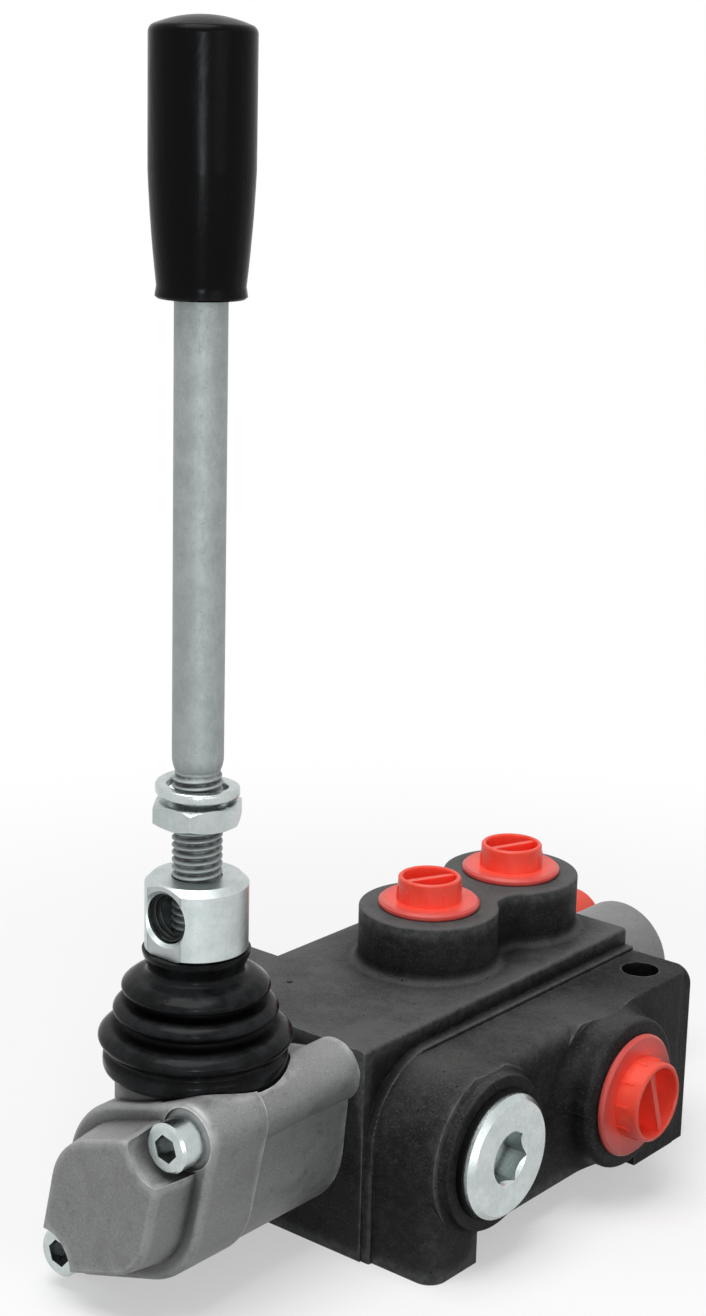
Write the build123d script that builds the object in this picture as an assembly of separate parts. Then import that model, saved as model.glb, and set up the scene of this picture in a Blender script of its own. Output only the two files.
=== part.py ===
"""Hydraulic monoblock valve: one spool, hand lever, spring centred.

Millimetres, +Z up.  The origin is on the mounting plane, below the middle of
the casting, midway between the two mounting holes.  The spool slides along Y,
the lever stands in front of the casting (-Y) and tilts about X, the spring cap
is behind it (+Y).  A and B ports open upwards, P opens to +X, T to -X.
"""
import math
import os

from build123d import *

# ---------------------------------------------------------------- casting
BODY_LENGTH = 95.0
FRONT_FACE_Y = -BODY_LENGTH / 2
REAR_FACE_Y = BODY_LENGTH / 2
BODY_TOP_Z = 46.5
PLATEAU_RIGHT_X = 22.5
PLATEAU_LEFT_X = -25.5
SHELF_Z = 41.7
SHELF_STEP_X = 24.7
SHELF_STEP_HEIGHT = 0.9
SHELF_STEP_FILLET = 0.5
RIGHT_WALL_X = 40.5
LEFT_WALL_X = -32.5
LEFT_SHELF_Z = 39.5
UNDERSIDE_Z = 7.0
FRONT_FOOT_LENGTH = 16.0
REAR_FOOT_LENGTH = 20.0
PAD_LENGTH = 14.0
PAD_WIDTH = 40.0
BULGE_EDGE_FILLET = 4.0
EDGE_FILLET = 0.9
CORNER_FILLET = 1.0

EAR_LENGTH = 27.0
EAR_HALF_WIDTH = 40.7
EAR_CORNER_RADIUS = 5.0
MOUNT_HOLE_DIAMETER = 8.5
MOUNT_HOLE_X = 32.5
MOUNT_HOLE_SETBACK = 9.0
MOUNT_HOLE_Y = REAR_FACE_Y - MOUNT_HOLE_SETBACK

# ---------------------------------------------------------------- ports
SPOOL_Z = 24.5
PORT_A_SETBACK = 46.0
PORT_B_SETBACK = 15.3
PORT_A_Y = REAR_FACE_Y - PORT_A_SETBACK
PORT_B_Y = REAR_FACE_Y - PORT_B_SETBACK
TOP_BOSS_DIAMETER = 31.0
TOP_BOSS_Z = 59.0
TOP_BOSS_FILLET = 2.2
TOP_BOSS_EDGE = 0.5
TOP_WEB_WIDTH = 19.0
TOP_WEB_CORNER_FILLET = 5.0
PORT_P_SETBACK = 34.0
PORT_P_Y = REAR_FACE_Y - PORT_P_SETBACK
PORT_P_FACE_X = 47.6
PORT_P_BOSS_DIAMETER = 33.4
PORT_P_FILLET = 3.4
PORT_P_EDGE = 1.3
CHECK_BOSS_FILLET = 1.4
CHECK_BOSS_EDGE = 0.5
PORT_T_SETBACK = 51.5
PORT_T_Y = REAR_FACE_Y - PORT_T_SETBACK
PORT_T_SPOT_DIAMETER = 29.0

WORK_THREAD_DIAMETER = 16.66
WORK_THREAD_DEPTH = 13.0
WORK_PASSAGE_DIAMETER = 8.0
MAIN_THREAD_DIAMETER = 20.96
MAIN_THREAD_DEPTH = 14.0
PORT_CHAMFER = 0.8
PUMP_PASSAGE_DIAMETER = 11.0
TANK_PASSAGE_DIAMETER = 8.0

# ---------------------------------------------------------------- galleries
SPOOL_BORE_DIAMETER = 16.0
FEED_RING_DIAMETER = 22.0
TANK_RING_DIAMETER = 27.0
RING_WIDTH = 6.0
END_RING_WIDTH = 4.5
RING_T1_SETBACK = 58.5
RING_P_SETBACK = 33.0
RING_B_SETBACK = 19.5
RING_T2_SETBACK = 8.5
RING_T1_Y = REAR_FACE_Y - RING_T1_SETBACK
RING_A_Y = PORT_A_Y
RING_P_Y = REAR_FACE_Y - RING_P_SETBACK
RING_B_Y = REAR_FACE_Y - RING_B_SETBACK
RING_T2_Y = REAR_FACE_Y - RING_T2_SETBACK
SEAL_SEAT_DIAMETER = 22.6
SEAL_SEAT_DEPTH = 4.6
TANK_GALLERY_X = -11.0
TANK_GALLERY_Z = 13.5
TANK_GALLERY_DIAMETER = 6.0
PUMP_GALLERY_X = 19.0
PUMP_GALLERY_DIAMETER = 7.0
CHECKED_GALLERY_X = 27.0
CHECKED_GALLERY_Z = 33.5
CHECKED_GALLERY_DIAMETER = 6.0
CROSS_DRILL_DIAMETER = 5.0

# ---------------------------------------------------------------- check valve
CHECK_SETBACK = 18.5
CHECK_Y = FRONT_FACE_Y + CHECK_SETBACK
CHECK_BOSS_DIAMETER = 33.0
CHECK_BOSS_FACE_X = 42.8
CHECK_SEAT_X = 24.0
CHECK_BORE_DIAMETER = 16.0
CHECK_SEAT_DIAMETER = 10.0
CHECK_SEAT_DEPTH = 9.7
CHECK_POPPET_BODY_LENGTH = 4.0
CHECK_POPPET_DIAMETER = 15.8
CHECK_POPPET_RECESS = 3.0
CHECK_POPPET_NOSE_LENGTH = 1.6
CHECK_PLUG_HEAD_DIAMETER = 26.4
CHECK_PLUG_HEAD_THICKNESS = 2.1
CHECK_PLUG_HEAD_CHAMFER = 1.1
CHECK_PLUG_THREAD = 20.86
CHECK_PLUG_THREAD_LENGTH = 8.0
CHECK_PLUG_HEX = 10.0
CHECK_PLUG_HEX_DEPTH = 5.0
CHECK_PLUG_HEX_ANGLE = 18.0
CHECK_PLUG_LEAD_DIAMETER = 11.4
CHECK_PLUG_LEAD_DEPTH = 0.8
CHECK_SEAL_THICKNESS = 1.4
CHECK_SEAL_DIAMETER = 27.6
CHECK_SPRING_POCKET_DIAMETER = 11.0
CHECK_SPRING_POCKET_DEPTH = 3.0
CHECK_SPRING_OD = 9.6
CHECK_SPRING_WIRE = 1.0
CHECK_SPRING_TURNS = 5.0

# ---------------------------------------------------------------- relief valve
RELIEF_X = -28.0
RELIEF_Z = 20.5
RELIEF_BOSS_RADIUS = 13.0
RELIEF_BOSS_LENGTH = 27.5
RELIEF_THREAD_DIAMETER = 18.0
RELIEF_THREAD_LENGTH = 12.0
RELIEF_NOSE_DIAMETER = 13.0
RELIEF_NOSE_LENGTH = 22.0
RELIEF_SEAT_DIAMETER = 5.0
RELIEF_SEAT_THICKNESS = 3.0
RELIEF_BORE_DIAMETER = 9.0
RELIEF_HEX = 22.0
RELIEF_HEX_LENGTH = 14.0
RELIEF_COLLAR_DIAMETER = 15.4
RELIEF_COLLAR_LENGTH = 8.0
RELIEF_SEAL_THICKNESS = 1.0
RELIEF_SCREW_DIAMETER = 8.0
RELIEF_SCREW_LENGTH = 46.0
RELIEF_SPRING_LENGTH = 16.5
RELIEF_SCREW_BORE = 8.06
RELIEF_SCREW_HEX = 4.0
RELIEF_SCREW_HEX_DEPTH = 4.0
RELIEF_NUT_HEX = 13.0
RELIEF_NUT_THICKNESS = 5.5
RELIEF_CAP_DIAMETER = 17.5
RELIEF_CAP_WALL = 1.0
RELIEF_CAP_STANDOFF = 18.5
RELIEF_CAP_LENGTH = 36.5
RELIEF_CAP_START_Y = REAR_FACE_Y + RELIEF_CAP_STANDOFF
RELIEF_CAP_END_Y = RELIEF_CAP_START_Y + RELIEF_CAP_LENGTH
RELIEF_POPPET_LENGTH = 12.0
RELIEF_SPRING_OD = 8.4
RELIEF_SPRING_WIRE = 1.3
RELIEF_SPRING_TURNS = 7.0
RELIEF_WINDOW_SETBACK = 4.5
RELIEF_WINDOW_DIAMETER = 4.0

# ---------------------------------------------------------------- spool
SPOOL_DIAMETER = 15.98
SPOOL_NECK_DIAMETER = 9.5
LEVER_STANDOFF = 25.5
LEVER_Y = FRONT_FACE_Y - LEVER_STANDOFF
SPOOL_FRONT_REACH = 10.5
SPOOL_REAR_REACH = 6.0
SPOOL_FRONT_Y = LEVER_Y - SPOOL_FRONT_REACH
SPOOL_REAR_Y = REAR_FACE_Y + SPOOL_REAR_REACH
SPOOL_END_CHAMFER = 0.6
SPOOL_LAP = 3.1
SPOOL_TAIL_THREAD = 6.0
SPOOL_TAIL_DEPTH = 15.0
LEVER_POCKET_DIAMETER = 10.2
LEVER_POCKET_FLOOR_Z = 18.0
SEAL_CORD = 3.2
SEAL_MEAN_RADIUS = 9.65
SEAL_PLATE_DIAMETER = 22.4
SEAL_PLATE_THICKNESS = 1.2
SEAL_PLATE_BORE = 16.4

# ---------------------------------------------------------------- spring cap
REAR_CAP_DIAMETER = 27.0
REAR_CAP_LENGTH = 35.4
REAR_CAP_END_Y = REAR_FACE_Y + REAR_CAP_LENGTH
REAR_CAP_WALL = 3.0
REAR_CAP_BORE = 20.4
REAR_CAP_FLANGE_RADIUS = 15.0
REAR_CAP_FLANGE_THICKNESS = 8.5
REAR_CAP_CHAMFER = 2.2
CUP_FLANGE_DIAMETER = 19.4
CUP_FLANGE_THICKNESS = 1.6
CUP_SLEEVE_DIAMETER = 11.5
CUP_SLEEVE_LENGTH = 4.0
CUP_BORE = 8.2
TAIL_SCREW_SHANK = 8.0
TAIL_SCREW_HEAD = 13.0
TAIL_SCREW_HEAD_THICKNESS = 3.6
TAIL_SCREW_HEX = 5.0
TAIL_SCREW_HEX_DEPTH = 2.2
CENTRING_SPRING_LENGTH = 13.7
CENTRING_SPRING_OD = 17.6
CENTRING_SPRING_WIRE = 1.7
CENTRING_SPRING_TURNS = 4.5

# ---------------------------------------------------------------- M6 screws
COVER_SCREW_DX = 14.7
COVER_SCREW_DZ = 16.2
COVER_LUG_RADIUS = 7.0
M6_DIAMETER = 6.0
M6_TAPPED = 6.1
M6_CLEARANCE = 6.6
M6_HEAD_DIAMETER = 10.0
M6_HEAD_HEIGHT = 6.0
M6_HEX = 5.0
M6_HEX_DEPTH = 3.0
FRONT_SCREW_LENGTH = 55.0
REAR_SCREW_LENGTH = 20.0
FRONT_TAPPED_DEPTH = 14.0
REAR_TAPPED_DEPTH = 14.0

# ---------------------------------------------------------------- lever box
PIVOT_Z = 49.0
BOX_SEAT_STANDOFF = 43.5
BOX_NOSE_LENGTH = 9.0
BOX_REAR_LENGTH = 28.0
BOX_SEAT_Y = FRONT_FACE_Y - BOX_SEAT_STANDOFF
BOX_NOSE_Y = BOX_SEAT_Y - BOX_NOSE_LENGTH
BOX_STEP_Y = FRONT_FACE_Y - BOX_REAR_LENGTH
BOX_RADIUS = 18.0
BOX_REAR_RADIUS = 17.4
BOX_WAIST_LUG_RADIUS = 4.2
LUG_STEP = 0.3
NOSE_RADIUS = 13.8
NOSE_LUG_RADIUS = 3.0
NOSE_TAPER = 8.0
NOSE_EDGE_FILLET = 0.9
BOX_RIM_FILLET = 1.4
SCREW_RECESS_RADIUS = 6.7
SPOT_RADIUS = 6.2
SPOT_DEPTH = 0.4
BOX_CHAMBER_DIAMETER = 20.4
BOX_CHAMBER_LENGTH = 48.0
BOX_CHAMBER_END_Y = FRONT_FACE_Y - BOX_CHAMBER_LENGTH
TURRET_RADIUS = 16.0
TURRET_TOP_Z = 53.0
TURRET_BORE = 20.0
PIVOT_PIN_DIAMETER = 5.0
PIVOT_PIN_BORE = 5.04
PIVOT_PIN_LENGTH = 30.5

# ---------------------------------------------------------------- lever
HUB_RADIUS = 10.2
HUB_BOTTOM_Z = 70.7
HUB_TOP_Z = 85.4
HUB_FLAT = 9.2
HUB_CHAMFER = 1.3
HUB_SHANK_RADIUS = 7.5
HUB_SHANK_BOTTOM_Z = 43.5
HUB_SHANK_TAPER = 2.0
HUB_ARM_RADIUS = 4.5
HUB_NECK_RADIUS = 2.8
HUB_NECK_TOP_Z = 35.0
BALL_RADIUS = 5.0
HUB_BORE_DIAMETER = 10.02
HUB_BORE_FLOOR_Z = 72.6
SIDE_HOLE_Z = 78.6
SIDE_HOLE_DIAMETER = 10.0
SIDE_HOLE_COUNTERSINK = 0.7
ROD_THREAD_DIAMETER = 9.82
ROD_DIAMETER = 10.0
ROD_BOTTOM_Z = 72.9
ROD_THREAD_TOP_Z = 106.5
ROD_NECK_DIAMETER = 8.9
ROD_NECK_LENGTH = 0.7
ROD_SHOULDER_LENGTH = 2.6
ROD_TOP_Z = 234.4
ROD_CHAMFER = 1.0
NUT_BOTTOM_Z = 96.0
NUT_THICKNESS = 5.0
NUT_HEX = 16.0
NUT_ANGLE = 4.6
NUT_LAND_DIAMETER = 15.0
NUT_CHAMFER_ANGLE = 30.0
NUT_BORE = 10.02
WASHER_OUTER_RADIUS = 8.2
WASHER_BORE_RADIUS = 5.9
WASHER_THICKNESS = 2.6
WASHER_SPLIT = 0.8
WASHER_SPLIT_ANGLE = 150.0
KNOB_BOTTOM_Z = 196.7
KNOB_TOP_Z = 246.7
KNOB_RADIUS = 9.85
KNOB_FOOT_RADIUS = 8.25
KNOB_LIP_RADIUS = 8.55
KNOB_LIP_HEIGHT = 1.2
KNOB_TAPER_TOP_Z = 219.7
KNOB_DOME_HEIGHT = 2.2
KNOB_EDGE_RADIUS = 1.7
KNOB_BORE = 10.04

# ---------------------------------------------------------------- boot
BOOT_SEAT_RADIUS = 18.8
BOOT_SEAT_Z = 45.4
BOOT_OUTLINE = (
    (17.3, 45.7), (18.2, 46.3), (18.4, 47.6), (18.2, 48.9), (17.5, 49.9),
    (17.7, 50.6), (18.9, 51.6), (19.3, 52.7), (18.8, 53.6), (16.4, 54.7),
    (14.1, 55.3), (13.9, 56.0), (14.6, 56.6), (16.0, 57.3), (16.4, 58.2),
    (15.9, 59.1), (13.9, 60.0), (12.0, 60.5), (11.8, 61.1), (13.0, 61.6),
    (14.5, 62.2), (14.7, 63.0), (14.0, 64.0), (11.9, 65.2), (9.9, 65.9),
    (9.5, 66.6), (9.7, 67.6), (10.5, 69.4), (10.7, 70.5),
)
BOOT_INSIDE = (
    (7.6, 70.5), (7.6, 64.5), (10.6, 63.7), (12.6, 62.6), (10.3, 61.6),
    (10.3, 60.0), (12.7, 59.2), (14.5, 58.2), (12.4, 57.0), (12.4, 54.6),
    (16.3, 53.2), (16.1, 52.4), (16.1, 45.7),
)

# ---------------------------------------------------------------- port caps
WORK_CAP_FLANGE = 22.4
WORK_CAP_GRIP = 14.2
WORK_CAP_SPIGOT = 16.3
MAIN_CAP_FLANGE = 27.0
MAIN_CAP_GRIP = 17.6
MAIN_CAP_SPIGOT = 20.6
CAP_FLANGE_THICKNESS = 1.6
CAP_GRIP_HEIGHT = 5.2
CAP_SPIGOT_LENGTH = 8.0
CAP_WALL = 1.2
CAP_WEB = 1.4
CAP_RIB_COUNT = 10
CAP_RIB_WIDTH = 0.7
CAP_RIB_DEPTH = 0.18
CAP_RIB_HEIGHT = 3.0
CAP_WEB_SINK = 0.5
CAP_A_ANGLE = 66.0
CAP_B_ANGLE = 70.0
CAP_P_ANGLE = 18.0
CAP_T_ANGLE = -20.0

OVERRUN = 20.0
SINK = 1.0


def along_x(solid, x, y, z):
    """Turn a solid built along +Z so that it runs along +X from a point."""
    return Location((x, y, z)) * Rotation(0, 90, 0) * solid


def along_y(solid, x, y, z):
    """Turn a solid built along +Z so that it runs along +Y from a point."""
    return Location((x, y, z)) * Rotation(-90, 0, 0) * solid


def rod_z(radius, z_from, z_to, x=0.0, y=0.0):
    """Plain cylinder between two heights."""
    return Location((x, y, z_from)) * extrude(Circle(radius), z_to - z_from)


def rod_x(radius, x_from, x_to, y, z):
    """Plain cylinder along X."""
    return along_x(extrude(Circle(radius), x_to - x_from), x_from, y, z)


def rod_y(radius, y_from, y_to, x, z):
    """Plain cylinder along Y."""
    return along_y(extrude(Circle(radius), y_to - y_from), x, y_from, z)


def block(x_from, x_to, y_from, y_to, z_from, z_to):
    """Plain box between two corners."""
    box = Box(x_to - x_from, y_to - y_from, z_to - z_from)
    centre = ((x_from + x_to) / 2, (y_from + y_to) / 2, (z_from + z_to) / 2)
    return Location(centre) * box


def hexagon_z(across_flats, height, angle=0.0):
    """Hexagonal prism on the XY plane."""
    outline = RegularPolygon(across_flats / math.sqrt(3), 6)
    return extrude(Rotation(0, 0, angle) * outline, height)


def turned(points):
    """Solid of revolution about Z from (radius, height) points."""
    face = make_face(Plane.XZ * Polyline(*points, close=True))
    return revolve(face, Axis.Z)


def coil(outside_diameter, wire, length, turns):
    """Round-wire compression spring standing on the XY plane."""
    radius = (outside_diameter - wire) / 2
    travel = length - wire
    path = Helix(pitch=travel / turns, height=travel, radius=radius)
    start = path @ 0
    section = Plane(origin=start, z_dir=path % 0) * Circle(wire / 2)
    return Location((0, 0, wire / 2)) * sweep(section, path=path)


def two_lug_outline(radius, lug_radius, mirror=1.0):
    """Closed outline around the spool axis and two diagonal screw lugs."""
    centre = Circle(radius)
    outlines = []
    for side in (1.0, -1.0):
        at = (side * mirror * COVER_SCREW_DX, side * COVER_SCREW_DZ)
        lug = Location((at[0], at[1], 0)) * Circle(lug_radius)
        outlines.append(make_hull(centre.edges() + lug.edges()))
    return centre + outlines[0] + outlines[1]


def cover_prism(outline, y_high, y_low, taper=0.0):
    """Push an outline (drawn as X, Z about the spool axis) from one Y down to another."""
    solid = extrude(outline, y_high - y_low, taper=taper)
    return Location((0, y_high, SPOOL_Z)) * Rotation(90, 0, 0) * solid


def cap_screw(length):
    """M6 socket head screw, head underside at the origin, shank along +Z."""
    head = Location((0, 0, -M6_HEAD_HEIGHT)) * extrude(Circle(M6_HEAD_DIAMETER / 2), M6_HEAD_HEIGHT)
    head = chamfer(head.edges().group_by(Axis.Z)[0], 0.5)
    shank = extrude(Circle(M6_DIAMETER / 2), length)
    shank = chamfer(shank.edges().group_by(Axis.Z)[-1], 0.7)
    socket = Location((0, 0, -M6_HEAD_HEIGHT)) * hexagon_z(M6_HEX, M6_HEX_DEPTH, 12)
    return head + shank - socket


def top_with_bosses():
    """Plateau slab with the two work-port bosses and their rounded roots."""
    half = BODY_LENGTH / 2
    radius = TOP_BOSS_DIAMETER / 2
    slab = block(
        PLATEAU_LEFT_X, PLATEAU_RIGHT_X, -half - OVERRUN, half + OVERRUN, SPOOL_Z, BODY_TOP_Z
    )
    outline = Location((0, PORT_A_Y, 0)) * Circle(radius)
    outline += Location((0, PORT_B_Y, 0)) * Circle(radius)
    middle = (PORT_A_Y + PORT_B_Y) / 2
    outline += Location((0, middle, 0)) * Rectangle(TOP_WEB_WIDTH, PORT_B_Y - PORT_A_Y)
    bosses = Location((0, 0, SPOOL_Z)) * extrude(outline, TOP_BOSS_Z - SPOOL_Z)
    necks = []
    for edge in bosses.edges().filter_by(Axis.Z):
        if abs(edge.center().Y - middle) < radius and abs(edge.center().X) > 1.0:
            necks.append(edge)
    bosses = fillet(necks, TOP_WEB_CORNER_FILLET)
    bosses = fillet(bosses.faces().sort_by(Axis.Z)[-1].edges(), TOP_BOSS_EDGE)
    solid = slab + bosses
    roots = []
    for edge in solid.edges():
        box = edge.bounding_box()
        on_top = abs(box.min.Z - BODY_TOP_Z) < 0.01 and box.size.Z < 0.01
        inside = box.min.X > PLATEAU_LEFT_X + 1 and box.max.X < PLATEAU_RIGHT_X - 1
        if on_top and inside:
            roots.append(edge)
    solid = fillet(roots, TOP_BOSS_FILLET)
    return solid & block(PLATEAU_LEFT_X, PLATEAU_RIGHT_X, -half, half, SPOOL_Z, TOP_BOSS_Z)


def bulge(x_to, rise, edge_fillet):
    """Right-hand block: arch round the check valve, shelf running to the rear."""
    top = SHELF_Z + rise
    radius = top - SPOOL_Z
    front = CHECK_Y - radius
    rear = BODY_LENGTH / 2
    slant = radius * math.cos(math.pi / 4)
    lead = Line((front, 0), (front, SPOOL_Z))
    arch = ThreePointArc(
        (front, SPOOL_Z), (CHECK_Y - slant, SPOOL_Z + slant), (CHECK_Y, top)
    )
    shelf = Line((CHECK_Y, top), (rear, top))
    back = Line((rear, top), (rear, 0))
    base = Line((rear, 0), (front, 0))
    face = make_face(Plane.YZ * (lead + arch + shelf + back + base))
    solid = extrude(face, x_to, dir=(1, 0, 0))
    outer = []
    for edge in solid.edges():
        c = edge.center()
        if abs(c.X - x_to) < 0.01 and c.Z > 1.0 and c.Y < rear - 1.0:
            outer.append(edge)
    return fillet(outer, edge_fillet)


def rear_right_ear():
    """Corner that carries the rear mounting hole."""
    half = BODY_LENGTH / 2
    solid = block(0, EAR_HALF_WIDTH, half - EAR_LENGTH + 2, half, 0, SHELF_Z)
    corner = solid.edges().filter_by(Axis.Z).sort_by(Axis.X)[-2:].sort_by(Axis.Y)[-1]
    solid = fillet(corner, EAR_CORNER_RADIUS)
    rim = [e for e in solid.faces().sort_by(Axis.Z)[-1].edges() if e.center().X > PLATEAU_RIGHT_X]
    return fillet(rim, EDGE_FILLET / 2)


def front_left_ear():
    """Corner that carries the front mounting hole."""
    half = BODY_LENGTH / 2
    solid = block(-EAR_HALF_WIDTH, 0, -half, -half + EAR_LENGTH, 0, BODY_TOP_Z)
    corners = solid.edges().filter_by(Axis.Z).sort_by(Axis.X)[:2]
    return fillet(corners, EAR_CORNER_RADIUS)


def flared_boss(radius, root_radius, edge_radius, x_to, y):
    """Round boss on the right-hand wall: hollow root, rounded rim, never above the shelf."""
    wall = RIGHT_WALL_X
    foot = radius + root_radius
    rim_x = x_to - edge_radius
    rim = radius - edge_radius
    outline = [
        Line((0, 0), (foot, 0)),
        Line((foot, 0), (foot, wall)),
        RadiusArc((foot, wall), (radius, wall + root_radius), root_radius),
        Line((radius, wall + root_radius), (radius, rim_x)),
        RadiusArc((radius, rim_x), (rim, x_to), -edge_radius),
        Line((rim, x_to), (0, x_to)),
        Line((0, x_to), (0, 0)),
    ]
    face = make_face(Plane.XZ * Curve(outline))
    solid = along_x(revolve(face, Axis.Z), 0, y, SPOOL_Z)
    reach = foot + OVERRUN
    return solid & block(0, x_to + SINK, y - reach, y + reach, UNDERSIDE_Z - SINK, SHELF_Z)


def casting_outside():
    """Outer shape of the valve body, before any bores."""
    half = BODY_LENGTH / 2
    core = block(PLATEAU_LEFT_X, PLATEAU_RIGHT_X, -half, half, 0, BODY_TOP_Z)
    core += top_with_bosses()
    sides = []
    for edge in core.edges():
        box = edge.bounding_box()
        at_top = abs(box.min.Z - BODY_TOP_Z) < 0.01 and box.size.Z < 0.01
        if at_top and edge.geom_type == GeomType.LINE and box.size.Y > BODY_LENGTH - 1:
            sides.append(edge)
    core = fillet(sides, EDGE_FILLET)
    left = block(LEFT_WALL_X, 0, -half, half, 0, LEFT_SHELF_Z)
    ridge = bulge(SHELF_STEP_X, SHELF_STEP_HEIGHT, SHELF_STEP_FILLET)
    solid = core + left + bulge(RIGHT_WALL_X, 0, BULGE_EDGE_FILLET) + ridge
    solid += rear_right_ear() + front_left_ear()
    solid += flared_boss(
        CHECK_BOSS_DIAMETER / 2, CHECK_BOSS_FILLET, CHECK_BOSS_EDGE, CHECK_BOSS_FACE_X, CHECK_Y
    )
    solid += flared_boss(
        PORT_P_BOSS_DIAMETER / 2, PORT_P_FILLET, PORT_P_EDGE, PORT_P_FACE_X, PORT_P_Y
    )
    solid += rod_y(RELIEF_BOSS_RADIUS, half - RELIEF_BOSS_LENGTH, half, RELIEF_X, RELIEF_Z)
    side = EAR_HALF_WIDTH + OVERRUN
    front = -half + FRONT_FOOT_LENGTH
    rear = half - REAR_FOOT_LENGTH
    relieved = block(-side, side, front, rear, -SINK, UNDERSIDE_Z)
    pad = block(-PAD_WIDTH / 2, PAD_WIDTH / 2, -PAD_LENGTH / 2, PAD_LENGTH / 2, 0, UNDERSIDE_Z + SINK)
    return solid - relieved + pad


def port_bore(diameter, depth, passage, passage_depth):
    """Threaded port along +Z down from the origin, with its deeper passage."""
    radius = diameter / 2
    tool = turned([
        (0, 1), (radius + PORT_CHAMFER + 1, 1), (radius, -PORT_CHAMFER),
        (radius, -depth), (passage / 2, -depth - (radius - passage / 2) * 0.5),
        (passage / 2, -passage_depth), (0, -passage_depth),
    ])
    return tool


def spool_bore_tools():
    """Spool bore, ring galleries and the seal seats at both ends."""
    half = BODY_LENGTH / 2
    tools = [rod_y(SPOOL_BORE_DIAMETER / 2, -half - 1, half + 1, 0, SPOOL_Z)]
    rings = (
        (RING_T1_Y, TANK_RING_DIAMETER), (RING_A_Y, FEED_RING_DIAMETER),
        (RING_P_Y, FEED_RING_DIAMETER), (RING_B_Y, FEED_RING_DIAMETER),
        (RING_T2_Y, TANK_RING_DIAMETER),
    )
    for y, diameter in rings:
        width = RING_WIDTH if y != RING_T2_Y else END_RING_WIDTH
        tools.append(rod_y(diameter / 2, y - width / 2, y + width / 2, 0, SPOOL_Z))
    for side in (-1, 1):
        y_in = side * (half - SEAL_SEAT_DEPTH)
        y_out = side * (half + 1)
        tools.append(
            rod_y(SEAL_SEAT_DIAMETER / 2, min(y_in, y_out), max(y_in, y_out), 0, SPOOL_Z)
        )
    return tools


def port_tools():
    """The four ports and the passages that feed the ring galleries."""
    tools = []
    work_depth = TOP_BOSS_Z - SPOOL_Z - FEED_RING_DIAMETER / 2 + SINK
    for y in (PORT_A_Y, PORT_B_Y):
        bore = port_bore(WORK_THREAD_DIAMETER, WORK_THREAD_DEPTH, WORK_PASSAGE_DIAMETER, work_depth)
        tools.append(Location((0, y, TOP_BOSS_Z)) * bore)
    pump_depth = PORT_P_FACE_X - PUMP_GALLERY_X + PUMP_GALLERY_DIAMETER / 2 + SINK
    bore = port_bore(MAIN_THREAD_DIAMETER, MAIN_THREAD_DEPTH, PUMP_PASSAGE_DIAMETER, pump_depth)
    tools.append(along_x(bore, PORT_P_FACE_X, PORT_P_Y, SPOOL_Z))
    tank_depth = MAIN_THREAD_DEPTH + 1
    bore = port_bore(MAIN_THREAD_DIAMETER, MAIN_THREAD_DEPTH, MAIN_THREAD_DIAMETER - 6, tank_depth)
    tools.append(Location((LEFT_WALL_X, PORT_T_Y, SPOOL_Z)) * Rotation(0, -90, 0) * bore)
    tank_y = RING_T1_Y + SINK
    tools.append(
        rod_x(TANK_PASSAGE_DIAMETER / 2, LEFT_WALL_X + MAIN_THREAD_DEPTH - 2, 0, tank_y, SPOOL_Z)
    )
    spot = LEFT_WALL_X - OVERRUN
    tools.append(rod_x(PORT_T_SPOT_DIAMETER / 2, spot, LEFT_WALL_X, PORT_T_Y, SPOOL_Z))
    return tools


def gallery_tools():
    """Long galleries: pump, after the check valve, and tank."""
    tools = [
        rod_y(PUMP_GALLERY_DIAMETER / 2, CHECK_Y, PORT_P_Y, PUMP_GALLERY_X, SPOOL_Z),
        rod_y(CHECKED_GALLERY_DIAMETER / 2, CHECK_Y, RING_P_Y, CHECKED_GALLERY_X, CHECKED_GALLERY_Z),
        rod_x(CROSS_DRILL_DIAMETER / 2, 2, CHECKED_GALLERY_X, RING_P_Y, CHECKED_GALLERY_Z),
        rod_y(TANK_GALLERY_DIAMETER / 2, RING_T1_Y, RING_T2_Y, TANK_GALLERY_X, TANK_GALLERY_Z),
    ]
    return tools


def check_bore_tool():
    """Bore for the load check valve, from the right-hand side."""
    face = CHECK_BOSS_FACE_X
    return along_x(turned([
        (0, CHECK_SEAT_X - CHECK_SEAT_DEPTH),
        (CHECK_SEAT_DIAMETER / 2, CHECK_SEAT_X - CHECK_SEAT_DEPTH),
        (CHECK_SEAT_DIAMETER / 2, CHECK_SEAT_X),
        (CHECK_BORE_DIAMETER / 2, CHECK_SEAT_X + 3.0),
        (CHECK_BORE_DIAMETER / 2, face - CHECK_PLUG_THREAD_LENGTH - 2.0),
        (MAIN_THREAD_DIAMETER / 2, face - CHECK_PLUG_THREAD_LENGTH - 1.0),
        (MAIN_THREAD_DIAMETER / 2, face + 1),
        (0, face + 1),
    ]), 0, CHECK_Y, SPOOL_Z)


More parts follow.
